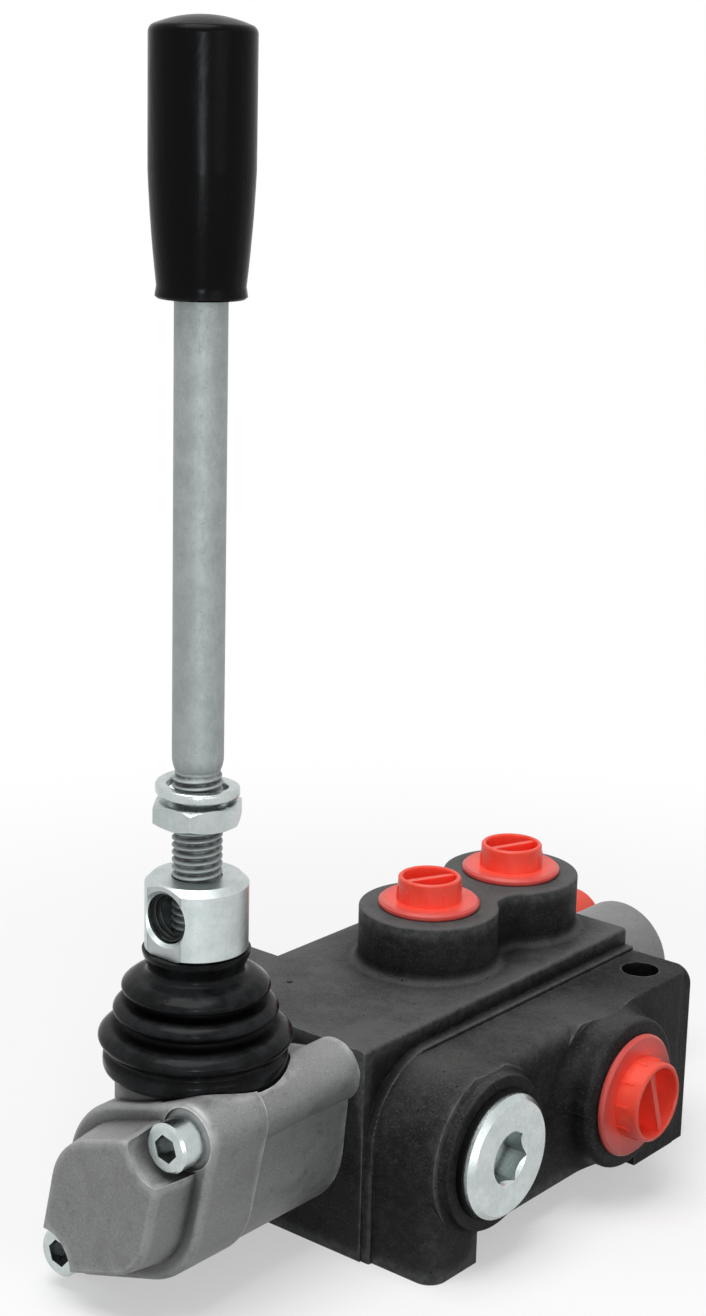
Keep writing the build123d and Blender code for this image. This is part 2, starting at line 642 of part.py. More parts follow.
def relief_bore_tools():
    """Stepped bore for the relief cartridge and its two passages."""
    half = BODY_LENGTH / 2
    thread_end = half - RELIEF_THREAD_LENGTH - 2.0
    nose_end = half - RELIEF_THREAD_LENGTH - RELIEF_NOSE_LENGTH - 2.0
    stepped = along_y(turned([
        (0, nose_end), (RELIEF_NOSE_DIAMETER / 2 + 0.05, nose_end),
        (RELIEF_NOSE_DIAMETER / 2 + 0.05, thread_end),
        (RELIEF_THREAD_DIAMETER / 2 + 0.05, thread_end + 1.0),
        (RELIEF_THREAD_DIAMETER / 2 + 0.05, half + 1), (0, half + 1),
    ]), RELIEF_X, 0, RELIEF_Z)
    feed = rod_x(CROSS_DRILL_DIAMETER / 2, RELIEF_X, -8.0, RING_P_Y - 1.0, RELIEF_Z)
    drain_z = (RELIEF_Z + TANK_GALLERY_Z) / 2
    drain_y = relief_window_y()
    drain = rod_x(CROSS_DRILL_DIAMETER / 2, RELIEF_X, TANK_GALLERY_X, drain_y, drain_z)
    return [stepped, feed, drain]


def screw_hole_tools():
    """Mounting holes and the tapped holes for both covers."""
    half = BODY_LENGTH / 2
    tools = []
    for side in (1, -1):
        x = side * MOUNT_HOLE_X
        y = side * MOUNT_HOLE_Y
        tools.append(rod_z(MOUNT_HOLE_DIAMETER / 2, -1, BODY_TOP_Z + 1, x, y))
        x = side * COVER_SCREW_DX
        z = SPOOL_Z + side * COVER_SCREW_DZ
        tools.append(rod_y(M6_TAPPED / 2, -half - 1, -half + FRONT_TAPPED_DEPTH, x, z))
        z = SPOOL_Z - side * COVER_SCREW_DZ
        tools.append(rod_y(M6_TAPPED / 2, half - REAR_TAPPED_DEPTH, half + 1, x, z))
    return tools


def valve_body():
    """Cast-iron monoblock with its machined bores."""
    solid = casting_outside()
    tools = spool_bore_tools() + port_tools() + gallery_tools()
    tools += [check_bore_tool()] + relief_bore_tools() + screw_hole_tools()
    for tool in tools:
        solid -= tool
    return solid


def seal_plate(y_from):
    """Thin steel ring that keeps a spool seal in its seat."""
    outer = rod_y(SEAL_PLATE_DIAMETER / 2, y_from, y_from + SEAL_PLATE_THICKNESS, 0, SPOOL_Z)
    return outer - rod_y(SEAL_PLATE_BORE / 2, y_from - 1, y_from + 3, 0, SPOOL_Z)


def spool_seal(y):
    """Rubber ring round the spool."""
    ring = Torus(SEAL_MEAN_RADIUS, SEAL_CORD / 2)
    return Location((0, y, SPOOL_Z)) * Rotation(90, 0, 0) * ring


def spool():
    """Spool with its control lands, lever pocket and tail thread."""
    land = SPOOL_DIAMETER / 2
    neck = SPOOL_NECK_DIAMETER / 2
    edge = SPOOL_END_CHAMFER
    half = RING_WIDTH / 2
    necks = (
        (RING_T1_Y - half, RING_A_Y - half - SPOOL_LAP),
        (RING_A_Y + half + SPOOL_LAP, RING_B_Y - half - SPOOL_LAP),
        (RING_B_Y + half + SPOOL_LAP, RING_T2_Y + half),
    )
    points = [(0, SPOOL_FRONT_Y), (land - edge, SPOOL_FRONT_Y), (land, SPOOL_FRONT_Y + edge)]
    for start, end in necks:
        points += [(land, start), (neck, start + 1), (neck, end - 1), (land, end)]
    points += [(land, SPOOL_REAR_Y - edge), (land - edge, SPOOL_REAR_Y), (0, SPOOL_REAR_Y)]
    solid = along_y(turned(points), 0, 0, SPOOL_Z)
    solid -= rod_z(LEVER_POCKET_DIAMETER / 2, LEVER_POCKET_FLOOR_Z, SPOOL_Z + land + 1, 0, LEVER_Y)
    tail = SPOOL_REAR_Y - SPOOL_TAIL_DEPTH
    solid -= rod_y(SPOOL_TAIL_THREAD / 2 + 0.05, tail, SPOOL_REAR_Y + 1, 0, SPOOL_Z)
    return solid


def spring_cup(y, direction):
    """Flanged cup; the flange starts at y and the sleeve points the given way."""
    flange_end = y + direction * CUP_FLANGE_THICKNESS
    sleeve_end = flange_end + direction * CUP_SLEEVE_LENGTH
    flange = rod_y(CUP_FLANGE_DIAMETER / 2, min(y, flange_end), max(y, flange_end), 0, SPOOL_Z)
    sleeve = rod_y(CUP_SLEEVE_DIAMETER / 2, min(y, sleeve_end), max(y, sleeve_end), 0, SPOOL_Z)
    bore = rod_y(CUP_BORE / 2, min(y, sleeve_end) - 1, max(y, sleeve_end) + 1, 0, SPOOL_Z)
    return flange + sleeve - bore


def rear_cup_y():
    """Outer face of the rear spring cup."""
    return SPOOL_REAR_Y + 2 * CUP_FLANGE_THICKNESS + CENTRING_SPRING_LENGTH


def tail_screw():
    """Shoulder screw that carries both cups behind the spool."""
    under_head = rear_cup_y()
    head_end = under_head + TAIL_SCREW_HEAD_THICKNESS
    solid = rod_y(TAIL_SCREW_SHANK / 2, SPOOL_REAR_Y, under_head, 0, SPOOL_Z)
    head = rod_y(TAIL_SCREW_HEAD / 2, under_head, head_end, 0, SPOOL_Z)
    head = chamfer(head.edges().group_by(Axis.Y)[-1], 0.6)
    thread_end = SPOOL_REAR_Y - SPOOL_TAIL_DEPTH + 2
    solid += head + rod_y(SPOOL_TAIL_THREAD / 2, thread_end, SPOOL_REAR_Y, 0, SPOOL_Z)
    socket = along_y(
        hexagon_z(TAIL_SCREW_HEX, TAIL_SCREW_HEX_DEPTH + 1), 0, head_end - TAIL_SCREW_HEX_DEPTH, SPOOL_Z
    )
    return solid - socket


def centring_spring():
    """Spring between the two cups."""
    spring = coil(
        CENTRING_SPRING_OD, CENTRING_SPRING_WIRE, CENTRING_SPRING_LENGTH, CENTRING_SPRING_TURNS
    )
    return along_y(spring, 0, SPOOL_REAR_Y + CUP_FLANGE_THICKNESS, SPOOL_Z)


def rear_cap():
    """Aluminium cap over the centring spring."""
    half = BODY_LENGTH / 2
    outline = two_lug_outline(REAR_CAP_FLANGE_RADIUS, COVER_LUG_RADIUS, -1.0)
    flange = cover_prism(outline, half + REAR_CAP_FLANGE_THICKNESS, half)
    flange = fillet(flange.edges().group_by(Axis.Y)[-1], CORNER_FILLET)
    barrel = rod_y(REAR_CAP_DIAMETER / 2, half, REAR_CAP_END_Y, 0, SPOOL_Z)
    barrel = chamfer(barrel.edges().group_by(Axis.Y)[-1], REAR_CAP_CHAMFER)
    barrel = fillet(barrel.edges().group_by(Axis.Y)[-2:], CORNER_FILLET / 2)
    solid = flange + barrel
    solid -= rod_y(REAR_CAP_BORE / 2, half - 1, REAR_CAP_END_Y - REAR_CAP_WALL, 0, SPOOL_Z)
    for side in (1, -1):
        x = -side * COVER_SCREW_DX
        z = SPOOL_Z + side * COVER_SCREW_DZ
        solid -= rod_y(M6_CLEARANCE / 2, half - 1, half + 30, x, z)
        seat = half + REAR_CAP_FLANGE_THICKNESS
        solid -= rod_y(SPOT_RADIUS, seat - SPOT_DEPTH, seat + 30, x, z)
    return solid


def cover_screws(front):
    """The pair of M6 screws that hold one cover."""
    screws = []
    seat = BODY_LENGTH / 2 + REAR_CAP_FLANGE_THICKNESS - SPOT_DEPTH
    for side in (1, -1):
        if front:
            z = SPOOL_Z + side * COVER_SCREW_DZ
            at = Location((side * COVER_SCREW_DX, BOX_SEAT_Y + SPOT_DEPTH, z))
            screws.append(at * Rotation(-90, 0, 0) * cap_screw(FRONT_SCREW_LENGTH))
        else:
            z = SPOOL_Z - side * COVER_SCREW_DZ
            at = Location((side * COVER_SCREW_DX, seat, z))
            screws.append(at * Rotation(90, 0, 0) * cap_screw(REAR_SCREW_LENGTH))
    return Compound(screws)


def lever_box():
    """Die-cast aluminium box round the lever pivot and the front of the spool."""
    half = BODY_LENGTH / 2
    front = two_lug_outline(BOX_RADIUS, COVER_LUG_RADIUS)
    main = cover_prism(front, BOX_STEP_Y, BOX_SEAT_Y)
    main = fillet(main.edges().group_by(Axis.Y)[0], BOX_RIM_FILLET)
    waist = two_lug_outline(BOX_REAR_RADIUS, BOX_WAIST_LUG_RADIUS)
    for side in (1, -1):
        at = Location((side * COVER_SCREW_DX, side * COVER_SCREW_DZ, 0))
        waist += at * Circle(COVER_LUG_RADIUS - LUG_STEP)
    rear = cover_prism(waist, -half, BOX_STEP_Y)
    nose = cover_prism(two_lug_outline(NOSE_RADIUS + 1.2, NOSE_LUG_RADIUS + 1.2),
                       BOX_SEAT_Y + 3, BOX_NOSE_Y, NOSE_TAPER)
    nose = fillet(nose.edges().group_by(Axis.Y)[0], NOSE_EDGE_FILLET)
    for side in (1, -1):
        x = side * COVER_SCREW_DX
        z = SPOOL_Z + side * COVER_SCREW_DZ
        nose -= rod_y(SCREW_RECESS_RADIUS, BOX_NOSE_Y - 1, BOX_SEAT_Y, x, z)
    turret = rod_z(TURRET_RADIUS, SPOOL_Z, TURRET_TOP_Z, 0, LEVER_Y)
    turret = chamfer(turret.edges().group_by(Axis.Z)[-1], 0.8)
    solid = main + rear + nose
    solid -= rod_z(BOOT_SEAT_RADIUS, BOOT_SEAT_Z, TURRET_TOP_Z, 0, LEVER_Y)
    solid += turret
    solid -= rod_y(BOX_CHAMBER_DIAMETER / 2, BOX_CHAMBER_END_Y, -half + 1, 0, SPOOL_Z)
    solid -= rod_z(TURRET_BORE / 2, SPOOL_Z, TURRET_TOP_Z + 1, 0, LEVER_Y)
    solid -= rod_x(PIVOT_PIN_BORE / 2, -TURRET_RADIUS - 1, TURRET_RADIUS + 1, LEVER_Y, PIVOT_Z)
    for side in (1, -1):
        x = side * COVER_SCREW_DX
        z = SPOOL_Z + side * COVER_SCREW_DZ
        solid -= rod_y(M6_CLEARANCE / 2, BOX_SEAT_Y - 1, -half + 1, x, z)
        solid -= rod_y(SPOT_RADIUS, BOX_SEAT_Y - 1, BOX_SEAT_Y + SPOT_DEPTH, x, z)
    return solid


def pivot_pin():
    """Plain pin that the lever tilts on."""
    pin = rod_x(PIVOT_PIN_DIAMETER / 2, -PIVOT_PIN_LENGTH / 2, PIVOT_PIN_LENGTH / 2, LEVER_Y, PIVOT_Z)
    return chamfer(pin.edges().filter_by(GeomType.CIRCLE), 0.4)


def lever_hub():
    """Lever block above the boot, with its shank, pivot eye and ball end below."""
    block_end = turned([
        (0, HUB_BOTTOM_Z), (HUB_RADIUS - 0.4, HUB_BOTTOM_Z), (HUB_RADIUS, HUB_BOTTOM_Z + 0.4),
        (HUB_RADIUS, HUB_TOP_Z - HUB_CHAMFER), (HUB_RADIUS - HUB_CHAMFER, HUB_TOP_Z), (0, HUB_TOP_Z),
    ])
    block_end -= block(-20, 20, -20, -HUB_FLAT, HUB_BOTTOM_Z - 1, HUB_TOP_Z + 1)
    shank = turned([
        (0, SPOOL_Z), (HUB_NECK_RADIUS, SPOOL_Z), (HUB_NECK_RADIUS, HUB_NECK_TOP_Z),
        (HUB_ARM_RADIUS, HUB_NECK_TOP_Z + 2), (HUB_ARM_RADIUS, HUB_SHANK_BOTTOM_Z - 1),
        (HUB_SHANK_RADIUS - HUB_SHANK_TAPER, HUB_SHANK_BOTTOM_Z),
        (HUB_SHANK_RADIUS, HUB_SHANK_BOTTOM_Z + HUB_SHANK_TAPER),
        (HUB_SHANK_RADIUS, HUB_BOTTOM_Z + 1), (0, HUB_BOTTOM_Z + 1),
    ])
    ball = Location((0, 0, SPOOL_Z)) * Sphere(BALL_RADIUS)
    solid = block_end + shank + ball
    solid -= rod_z(HUB_BORE_DIAMETER / 2, HUB_BORE_FLOOR_Z, HUB_TOP_Z + 1)
    sink = SIDE_HOLE_COUNTERSINK
    radius = SIDE_HOLE_DIAMETER / 2
    side = turned([
        (0, -1), (radius + sink + 1, -1), (radius, sink), (radius, HUB_FLAT), (0, HUB_FLAT),
    ])
    solid -= along_y(side, 0, -HUB_FLAT, SIDE_HOLE_Z)
    solid = Location((0, LEVER_Y, 0)) * solid
    return solid - rod_x(PIVOT_PIN_BORE / 2, -20, 20, LEVER_Y, PIVOT_Z)


def lever_boot():
    """Rubber bellows from the turret up to the lever block."""
    outer = Spline(*BOOT_OUTLINE)
    inner = Polyline(BOOT_OUTLINE[-1], *BOOT_INSIDE, BOOT_OUTLINE[0])
    face = make_face(Plane.XZ * (outer + inner))
    return Location((0, LEVER_Y, 0)) * revolve(face, Axis.Z)


def lever_rod():
    """Round lever with a threaded lower end."""
    thread = ROD_THREAD_DIAMETER / 2
    neck = ROD_NECK_DIAMETER / 2
    radius = ROD_DIAMETER / 2
    neck_top = ROD_THREAD_TOP_Z + ROD_NECK_LENGTH
    shoulder = neck_top + ROD_SHOULDER_LENGTH
    return Location((0, LEVER_Y, 0)) * turned([
        (0, ROD_BOTTOM_Z), (thread - ROD_CHAMFER, ROD_BOTTOM_Z), (thread, ROD_BOTTOM_Z + ROD_CHAMFER),
        (thread, ROD_THREAD_TOP_Z - 0.4), (neck, ROD_THREAD_TOP_Z), (neck, neck_top),
        (radius - 0.2, shoulder - 1.2), (radius, shoulder), (radius, ROD_TOP_Z - ROD_CHAMFER),
        (radius - ROD_CHAMFER, ROD_TOP_Z), (0, ROD_TOP_Z),
    ])


def jam_nut():
    """Thin hexagon nut, chamfered both sides."""
    nut = hexagon_z(NUT_HEX, NUT_THICKNESS, NUT_ANGLE)
    corner = NUT_HEX / math.sqrt(3)
    land = NUT_LAND_DIAMETER / 2
    drop = (corner + 0.5 - land) * math.tan(math.radians(NUT_CHAMFER_ANGLE))
    cone = turned([
        (0, 0), (land, 0), (corner + 0.5, drop), (corner + 0.5, NUT_THICKNESS - drop),
        (land, NUT_THICKNESS), (0, NUT_THICKNESS),
    ])
    nut = nut & cone
    nut -= rod_z(NUT_BORE / 2, -1, NUT_THICKNESS + 1)
    return Location((0, LEVER_Y, NUT_BOTTOM_Z)) * nut


def spring_washer():
    """Split spring washer on the nut."""
    ring = rod_z(WASHER_OUTER_RADIUS, 0, WASHER_THICKNESS)
    ring -= rod_z(WASHER_BORE_RADIUS, -1, WASHER_THICKNESS + 1)
    ring = fillet(ring.edges().filter_by(GeomType.CIRCLE), 0.4)
    gap = Location((WASHER_OUTER_RADIUS, 0, WASHER_THICKNESS / 2)) * Rotation(22, 0, 0) * Box(
        WASHER_OUTER_RADIUS, WASHER_SPLIT, 3 * WASHER_THICKNESS
    )
    ring -= Rotation(0, 0, WASHER_SPLIT_ANGLE) * gap
    return Location((0, LEVER_Y, NUT_BOTTOM_Z + NUT_THICKNESS)) * ring


def lever_knob():
    """Tapered plastic grip with a domed end."""
    top = KNOB_TOP_Z
    side_top = top - KNOB_DOME_HEIGHT
    sphere = (KNOB_RADIUS ** 2 + KNOB_DOME_HEIGHT ** 2) / (2 * KNOB_DOME_HEIGHT)
    middle = KNOB_RADIUS / 2
    dome_middle = top - sphere + math.sqrt(sphere ** 2 - middle ** 2)
    outline = [
        Line((0, KNOB_BOTTOM_Z), (KNOB_LIP_RADIUS - 0.4, KNOB_BOTTOM_Z)),
        Line((KNOB_LIP_RADIUS - 0.4, KNOB_BOTTOM_Z), (KNOB_LIP_RADIUS, KNOB_BOTTOM_Z + 0.4)),
        Line((KNOB_LIP_RADIUS, KNOB_BOTTOM_Z + 0.4), (KNOB_FOOT_RADIUS, KNOB_BOTTOM_Z + KNOB_LIP_HEIGHT + 1)),
        Spline(
            (KNOB_FOOT_RADIUS, KNOB_BOTTOM_Z + KNOB_LIP_HEIGHT + 1),
            ((KNOB_FOOT_RADIUS + KNOB_RADIUS) / 2 + 0.15, (KNOB_BOTTOM_Z + KNOB_TAPER_TOP_Z) / 2 + 0.6),
            (KNOB_RADIUS, KNOB_TAPER_TOP_Z),
        ),
        Line((KNOB_RADIUS, KNOB_TAPER_TOP_Z), (KNOB_RADIUS, side_top)),
        ThreePointArc((KNOB_RADIUS, side_top), (middle, dome_middle), (0, top)),
        Line((0, top), (0, KNOB_BOTTOM_Z)),
    ]
    solid = revolve(make_face(Plane.XZ * Curve(outline)), Axis.Z)
    rim = [e for e in solid.edges() if abs(e.bounding_box().min.Z - side_top) < 0.01]
    solid = fillet(rim, KNOB_EDGE_RADIUS)
    solid -= rod_z(KNOB_BORE / 2, KNOB_BOTTOM_Z - 1, ROD_TOP_Z + 0.1)
    return Location((0, LEVER_Y, 0)) * solid


def check_plug():
    """Steel plug with an inner hexagon that closes the check valve bore."""
    head_end = CHECK_BOSS_FACE_X + CHECK_SEAL_THICKNESS + CHECK_PLUG_HEAD_THICKNESS
    under_head = CHECK_BOSS_FACE_X + CHECK_SEAL_THICKNESS
    thread_end = CHECK_BOSS_FACE_X - CHECK_PLUG_THREAD_LENGTH
    head = CHECK_PLUG_HEAD_DIAMETER / 2
    thread = CHECK_PLUG_THREAD / 2
    pocket = CHECK_SPRING_POCKET_DIAMETER / 2
    edge = CHECK_PLUG_HEAD_CHAMFER
    solid = along_x(turned([
        (0, thread_end + CHECK_SPRING_POCKET_DEPTH), (pocket, thread_end + CHECK_SPRING_POCKET_DEPTH),
        (pocket, thread_end), (thread - 1, thread_end), (thread, thread_end + 1),
        (thread, under_head), (head, under_head), (head, head_end - edge),
        (head - edge, head_end), (0, head_end),
    ]), 0, CHECK_Y, SPOOL_Z)
    socket = along_x(
        hexagon_z(CHECK_PLUG_HEX, CHECK_PLUG_HEX_DEPTH + 1, CHECK_PLUG_HEX_ANGLE),
        head_end - CHECK_PLUG_HEX_DEPTH, CHECK_Y, SPOOL_Z,
    )
    wide = CHECK_PLUG_LEAD_DIAMETER / 2
    narrow = CHECK_PLUG_HEX / 2
    lead = along_x(turned([
        (0, -CHECK_PLUG_LEAD_DEPTH), (narrow, -CHECK_PLUG_LEAD_DEPTH), (wide, 0),
        (wide, SINK), (0, SINK),
    ]), head_end, CHECK_Y, SPOOL_Z)
    return solid - socket - lead


def check_plug_seal():
    """Sealing ring under the steel plug."""
    face = CHECK_BOSS_FACE_X
    ring = rod_x(CHECK_SEAL_DIAMETER / 2, face, face + CHECK_SEAL_THICKNESS, CHECK_Y, SPOOL_Z)
    return ring - rod_x(MAIN_THREAD_DIAMETER / 2, face - 1, face + 5, CHECK_Y, SPOOL_Z)


def check_poppet():
    """Load check poppet, seated."""
    radius = CHECK_POPPET_DIAMETER / 2
    seat = CHECK_SEAT_DIAMETER / 2 - 0.05
    nose = CHECK_POPPET_NOSE_LENGTH
    shoulder = CHECK_SEAT_X + radius - seat
    back = shoulder + CHECK_POPPET_BODY_LENGTH
    recess = CHECK_SPRING_OD / 2 + 0.2
    return along_x(turned([
        (0, CHECK_SEAT_X - nose), (seat - nose, CHECK_SEAT_X - nose), (radius, shoulder),
        (radius, back), (recess, back), (recess, back - CHECK_POPPET_RECESS),
        (0, back - CHECK_POPPET_RECESS),
    ]), 0, CHECK_Y, SPOOL_Z)


def check_spring():
    """Spring that holds the check poppet on its seat."""
    radius = CHECK_POPPET_DIAMETER / 2
    back = CHECK_SEAT_X + radius - CHECK_SEAT_DIAMETER / 2 + 0.05 + CHECK_POPPET_BODY_LENGTH
    start = back - CHECK_POPPET_RECESS
    end = CHECK_BOSS_FACE_X - CHECK_PLUG_THREAD_LENGTH + CHECK_SPRING_POCKET_DEPTH
    spring = coil(CHECK_SPRING_OD, CHECK_SPRING_WIRE, end - start, CHECK_SPRING_TURNS)
    return along_x(spring, start, CHECK_Y, SPOOL_Z)


def relief_start_y():
    """Inner end of the relief cartridge."""
    hex_start = BODY_LENGTH / 2 + RELIEF_SEAL_THICKNESS
    return hex_start - RELIEF_THREAD_LENGTH - RELIEF_NOSE_LENGTH


def relief_collar_end_y():
    """Outer face of the relief cartridge collar."""
    return BODY_LENGTH / 2 + RELIEF_SEAL_THICKNESS + RELIEF_HEX_LENGTH + RELIEF_COLLAR_LENGTH


def relief_seat_y():
    """Face that the relief poppet closes on."""
    return relief_start_y() + RELIEF_SEAT_THICKNESS


def relief_window_y():
    """Place of the cross holes that lead to tank, behind the seat."""
    return relief_seat_y() + RELIEF_WINDOW_SETBACK


def relief_cartridge():
    """Relief valve sleeve: nose with its seat, thread, hexagon and collar."""
    hex_start = BODY_LENGTH / 2 + RELIEF_SEAL_THICKNESS
    hex_end = hex_start + RELIEF_HEX_LENGTH
    thread_start = hex_start - RELIEF_THREAD_LENGTH
    nose = RELIEF_NOSE_DIAMETER / 2
    thread = RELIEF_THREAD_DIAMETER / 2
    collar = RELIEF_COLLAR_DIAMETER / 2
    outside = turned([
        (0, relief_start_y()), (nose, relief_start_y()), (nose, thread_start),
        (thread - 0.8, thread_start), (thread, thread_start + 0.8), (thread, hex_start),
        (collar, hex_start), (collar, relief_collar_end_y() - 0.6),
        (collar - 0.6, relief_collar_end_y()), (0, relief_collar_end_y()),
    ])
    hexagon = Location((0, 0, hex_start)) * hexagon_z(RELIEF_HEX, hex_end - hex_start)
    bore = RELIEF_BORE_DIAMETER / 2
    screw = RELIEF_SCREW_BORE / 2
    inside = turned([
        (0, relief_start_y() - 1), (RELIEF_SEAT_DIAMETER / 2, relief_start_y() - 1),
        (RELIEF_SEAT_DIAMETER / 2, relief_seat_y()), (bore, relief_seat_y() + 1.5),
        (bore, hex_start), (screw, hex_start + 1), (screw, relief_collar_end_y() + 1),
        (0, relief_collar_end_y() + 1),
    ])
    solid = along_y(outside + hexagon - inside, RELIEF_X, 0, RELIEF_Z)
    reach = nose + SINK
    window = rod_x(
        RELIEF_WINDOW_DIAMETER / 2, RELIEF_X - reach, RELIEF_X + reach, relief_window_y(), RELIEF_Z
    )
    return solid - window


def relief_seal():
    """Sealing ring under the cartridge hexagon."""
    face = BODY_LENGTH / 2
    ring = rod_y(RELIEF_HEX / 2 - 0.3, face, face + RELIEF_SEAL_THICKNESS, RELIEF_X, RELIEF_Z)
    return ring - rod_y(RELIEF_THREAD_DIAMETER / 2 + 0.05, face - 1, face + 5, RELIEF_X, RELIEF_Z)


def relief_spring_end_y():
    """Face of the adjusting screw that the relief spring pushes on."""
    return relief_seat_y() + RELIEF_POPPET_LENGTH + RELIEF_SPRING_LENGTH


def relief_poppet():
    """Relief poppet with a cone, a slim waist and a guide."""
    seat = RELIEF_SEAT_DIAMETER / 2 - 0.05
    guide = RELIEF_BORE_DIAMETER / 2 - 0.08
    y = relief_seat_y()
    end = y + RELIEF_POPPET_LENGTH
    return along_y(turned([
        (0, y - 1.6), (seat - 1.6 * 4 / 3, y - 1.6), (seat, y), (guide - 0.4, y + 1.35),
        (guide - 0.4, y + 2.0), (2.0, y + 2.6), (2.0, y + 6.0), (guide, y + 7.0),
        (guide, end), (0, end),
    ]), RELIEF_X, 0, RELIEF_Z)


def relief_spring():
    """Spring that sets the relief pressure."""
    spring = coil(
        RELIEF_SPRING_OD, RELIEF_SPRING_WIRE, RELIEF_SPRING_LENGTH, RELIEF_SPRING_TURNS
    )
    return along_y(spring, RELIEF_X, relief_seat_y() + RELIEF_POPPET_LENGTH, RELIEF_Z)


def relief_screw():
    """Adjusting screw of the relief valve."""
    start = relief_spring_end_y()
    end = start + RELIEF_SCREW_LENGTH
    solid = rod_y(RELIEF_SCREW_DIAMETER / 2, start, end, RELIEF_X, RELIEF_Z)
    solid = chamfer(solid.edges().filter_by(GeomType.CIRCLE), 0.6)
    socket = along_y(
        hexagon_z(RELIEF_SCREW_HEX, RELIEF_SCREW_HEX_DEPTH + 1),
        RELIEF_X, end - RELIEF_SCREW_HEX_DEPTH, RELIEF_Z,
    )
    return solid - socket


def relief_lock_nut():
    """Nut that locks the adjusting screw."""
    nut = hexagon_z(RELIEF_NUT_HEX, RELIEF_NUT_THICKNESS)
    nut -= rod_z(RELIEF_SCREW_BORE / 2, -1, RELIEF_NUT_THICKNESS + 1)
    return along_y(nut, RELIEF_X, relief_collar_end_y(), RELIEF_Z)


def relief_cap():
    """Push-on plastic cap over the adjusting screw."""
    radius = RELIEF_CAP_DIAMETER / 2
    solid = rod_y(radius, RELIEF_CAP_START_Y, RELIEF_CAP_END_Y, RELIEF_X, RELIEF_Z)
    solid = fillet(solid.edges().group_by(Axis.Y)[-1], 1.2)
    inner_end = RELIEF_CAP_END_Y - 1.5 * RELIEF_CAP_WALL
    return solid - rod_y(
        radius - RELIEF_CAP_WALL, RELIEF_CAP_START_Y - 1, inner_end, RELIEF_X, RELIEF_Z
    )


def port_cap(flange, grip, spigot, angle):
    """Plastic port closure: hollow spigot, flange and finger grip, along +Z."""
    rim = CAP_FLANGE_THICKNESS
    top = rim + CAP_GRIP_HEIGHT
    outer = grip / 2
    solid = turned([
        (0, -CAP_WALL / 2), (spigot / 2 - CAP_WALL, -CAP_WALL / 2),
        (spigot / 2 - CAP_WALL, -CAP_SPIGOT_LENGTH), (spigot / 2 - 0.4, -CAP_SPIGOT_LENGTH),
        (spigot / 2, -CAP_SPIGOT_LENGTH + 0.6), (spigot / 2, 0), (flange / 2 - 0.5, 0),
        (flange / 2, 0.5), (flange / 2, rim - 0.5), (flange / 2 - 0.5, rim), (outer, rim),
        (outer - 0.15, top - 0.3), (outer - 0.45, top), (outer - CAP_WALL + 0.2, top),
        (outer - CAP_WALL, top - 0.3), (outer - CAP_WALL, rim), (0, rim),
    ])
    for i in range(CAP_RIB_COUNT):
        rib = Location((outer - 0.2, 0, rim + CAP_RIB_HEIGHT / 2)) * Box(
            2 * CAP_RIB_DEPTH + 0.4, CAP_RIB_WIDTH, CAP_RIB_HEIGHT
        )
        solid += Rotation(0, 0, 360 / CAP_RIB_COUNT * i + 12) * rib
    web_height = CAP_GRIP_HEIGHT - CAP_WEB_SINK + rim / 2
    web = Location((0, 0, rim / 2 + web_height / 2)) * Box(
        grip - 1.5 * CAP_WALL, CAP_WEB, web_height
    )
    return solid + Rotation(0, 0, angle) * web


def work_cap(y, angle):
    """Closure for a work port on top."""
    return Location((0, y, TOP_BOSS_Z)) * port_cap(
        WORK_CAP_FLANGE, WORK_CAP_GRIP, WORK_CAP_SPIGOT, angle
    )


def main_cap_p():
    """Closure for the pump port on the right."""
    cap = port_cap(MAIN_CAP_FLANGE, MAIN_CAP_GRIP, MAIN_CAP_SPIGOT, CAP_P_ANGLE)
    return along_x(cap, PORT_P_FACE_X, PORT_P_Y, SPOOL_Z)


def main_cap_t():
    """Closure for the tank port on the left."""
    cap = port_cap(MAIN_CAP_FLANGE, MAIN_CAP_GRIP, MAIN_CAP_SPIGOT, CAP_T_ANGLE)
    return Location((LEFT_WALL_X, PORT_T_Y, SPOOL_Z)) * Rotation(0, -90, 0) * cap


def build():
    """Every piece by its node name."""
    half = BODY_LENGTH / 2
    seal_y = half - (SEAL_SEAT_DEPTH + SEAL_PLATE_THICKNESS) / 2
    return {
        "valve_body": valve_body(),
        "port_a_cap": work_cap(PORT_A_Y, CAP_A_ANGLE),
        "port_b_cap": work_cap(PORT_B_Y, CAP_B_ANGLE),
        "port_p_cap": main_cap_p(),
        "port_t_cap": main_cap_t(),
        "check_plug": check_plug(),
        "check_plug_seal": check_plug_seal(),
        "check_poppet": check_poppet(),
        "check_spring": check_spring(),
        "relief_cartridge": relief_cartridge(),
        "relief_seal": relief_seal(),
        "relief_poppet": relief_poppet(),
        "relief_spring": relief_spring(),
        "relief_screw": relief_screw(),
        "relief_lock_nut": relief_lock_nut(),
        "relief_cap": relief_cap(),
        "spool": spool(),
        "spool_seal_front": spool_seal(-seal_y),
        "spool_seal_rear": spool_seal(seal_y),
        "seal_plate_front": seal_plate(-half),
        "seal_plate_rear": seal_plate(half - SEAL_PLATE_THICKNESS),
        "spool_tail_screw": tail_screw(),
        "spring_cup_front": spring_cup(SPOOL_REAR_Y, 1),
        "spring_cup_rear": spring_cup(rear_cup_y(), -1),
        "centring_spring": centring_spring(),
        "rear_cap": rear_cap(),
        "rear_cap_screws": cover_screws(False),
        "lever_box": lever_box(),
        "lever_box_screws": cover_screws(True),
        "pivot_pin": pivot_pin(),
        "lever_hub": lever_hub(),
        "lever_boot": lever_boot(),
        "lever_rod": lever_rod(),
        "jam_nut": jam_nut(),
        "spring_washer": spring_washer(),
        "lever_knob": lever_knob(),
    }


if __name__ == "__main__":
    os.makedirs("parts", exist_ok=True)
    for name, shape in build().items():
        export_step(shape, "parts/" + name + ".step")
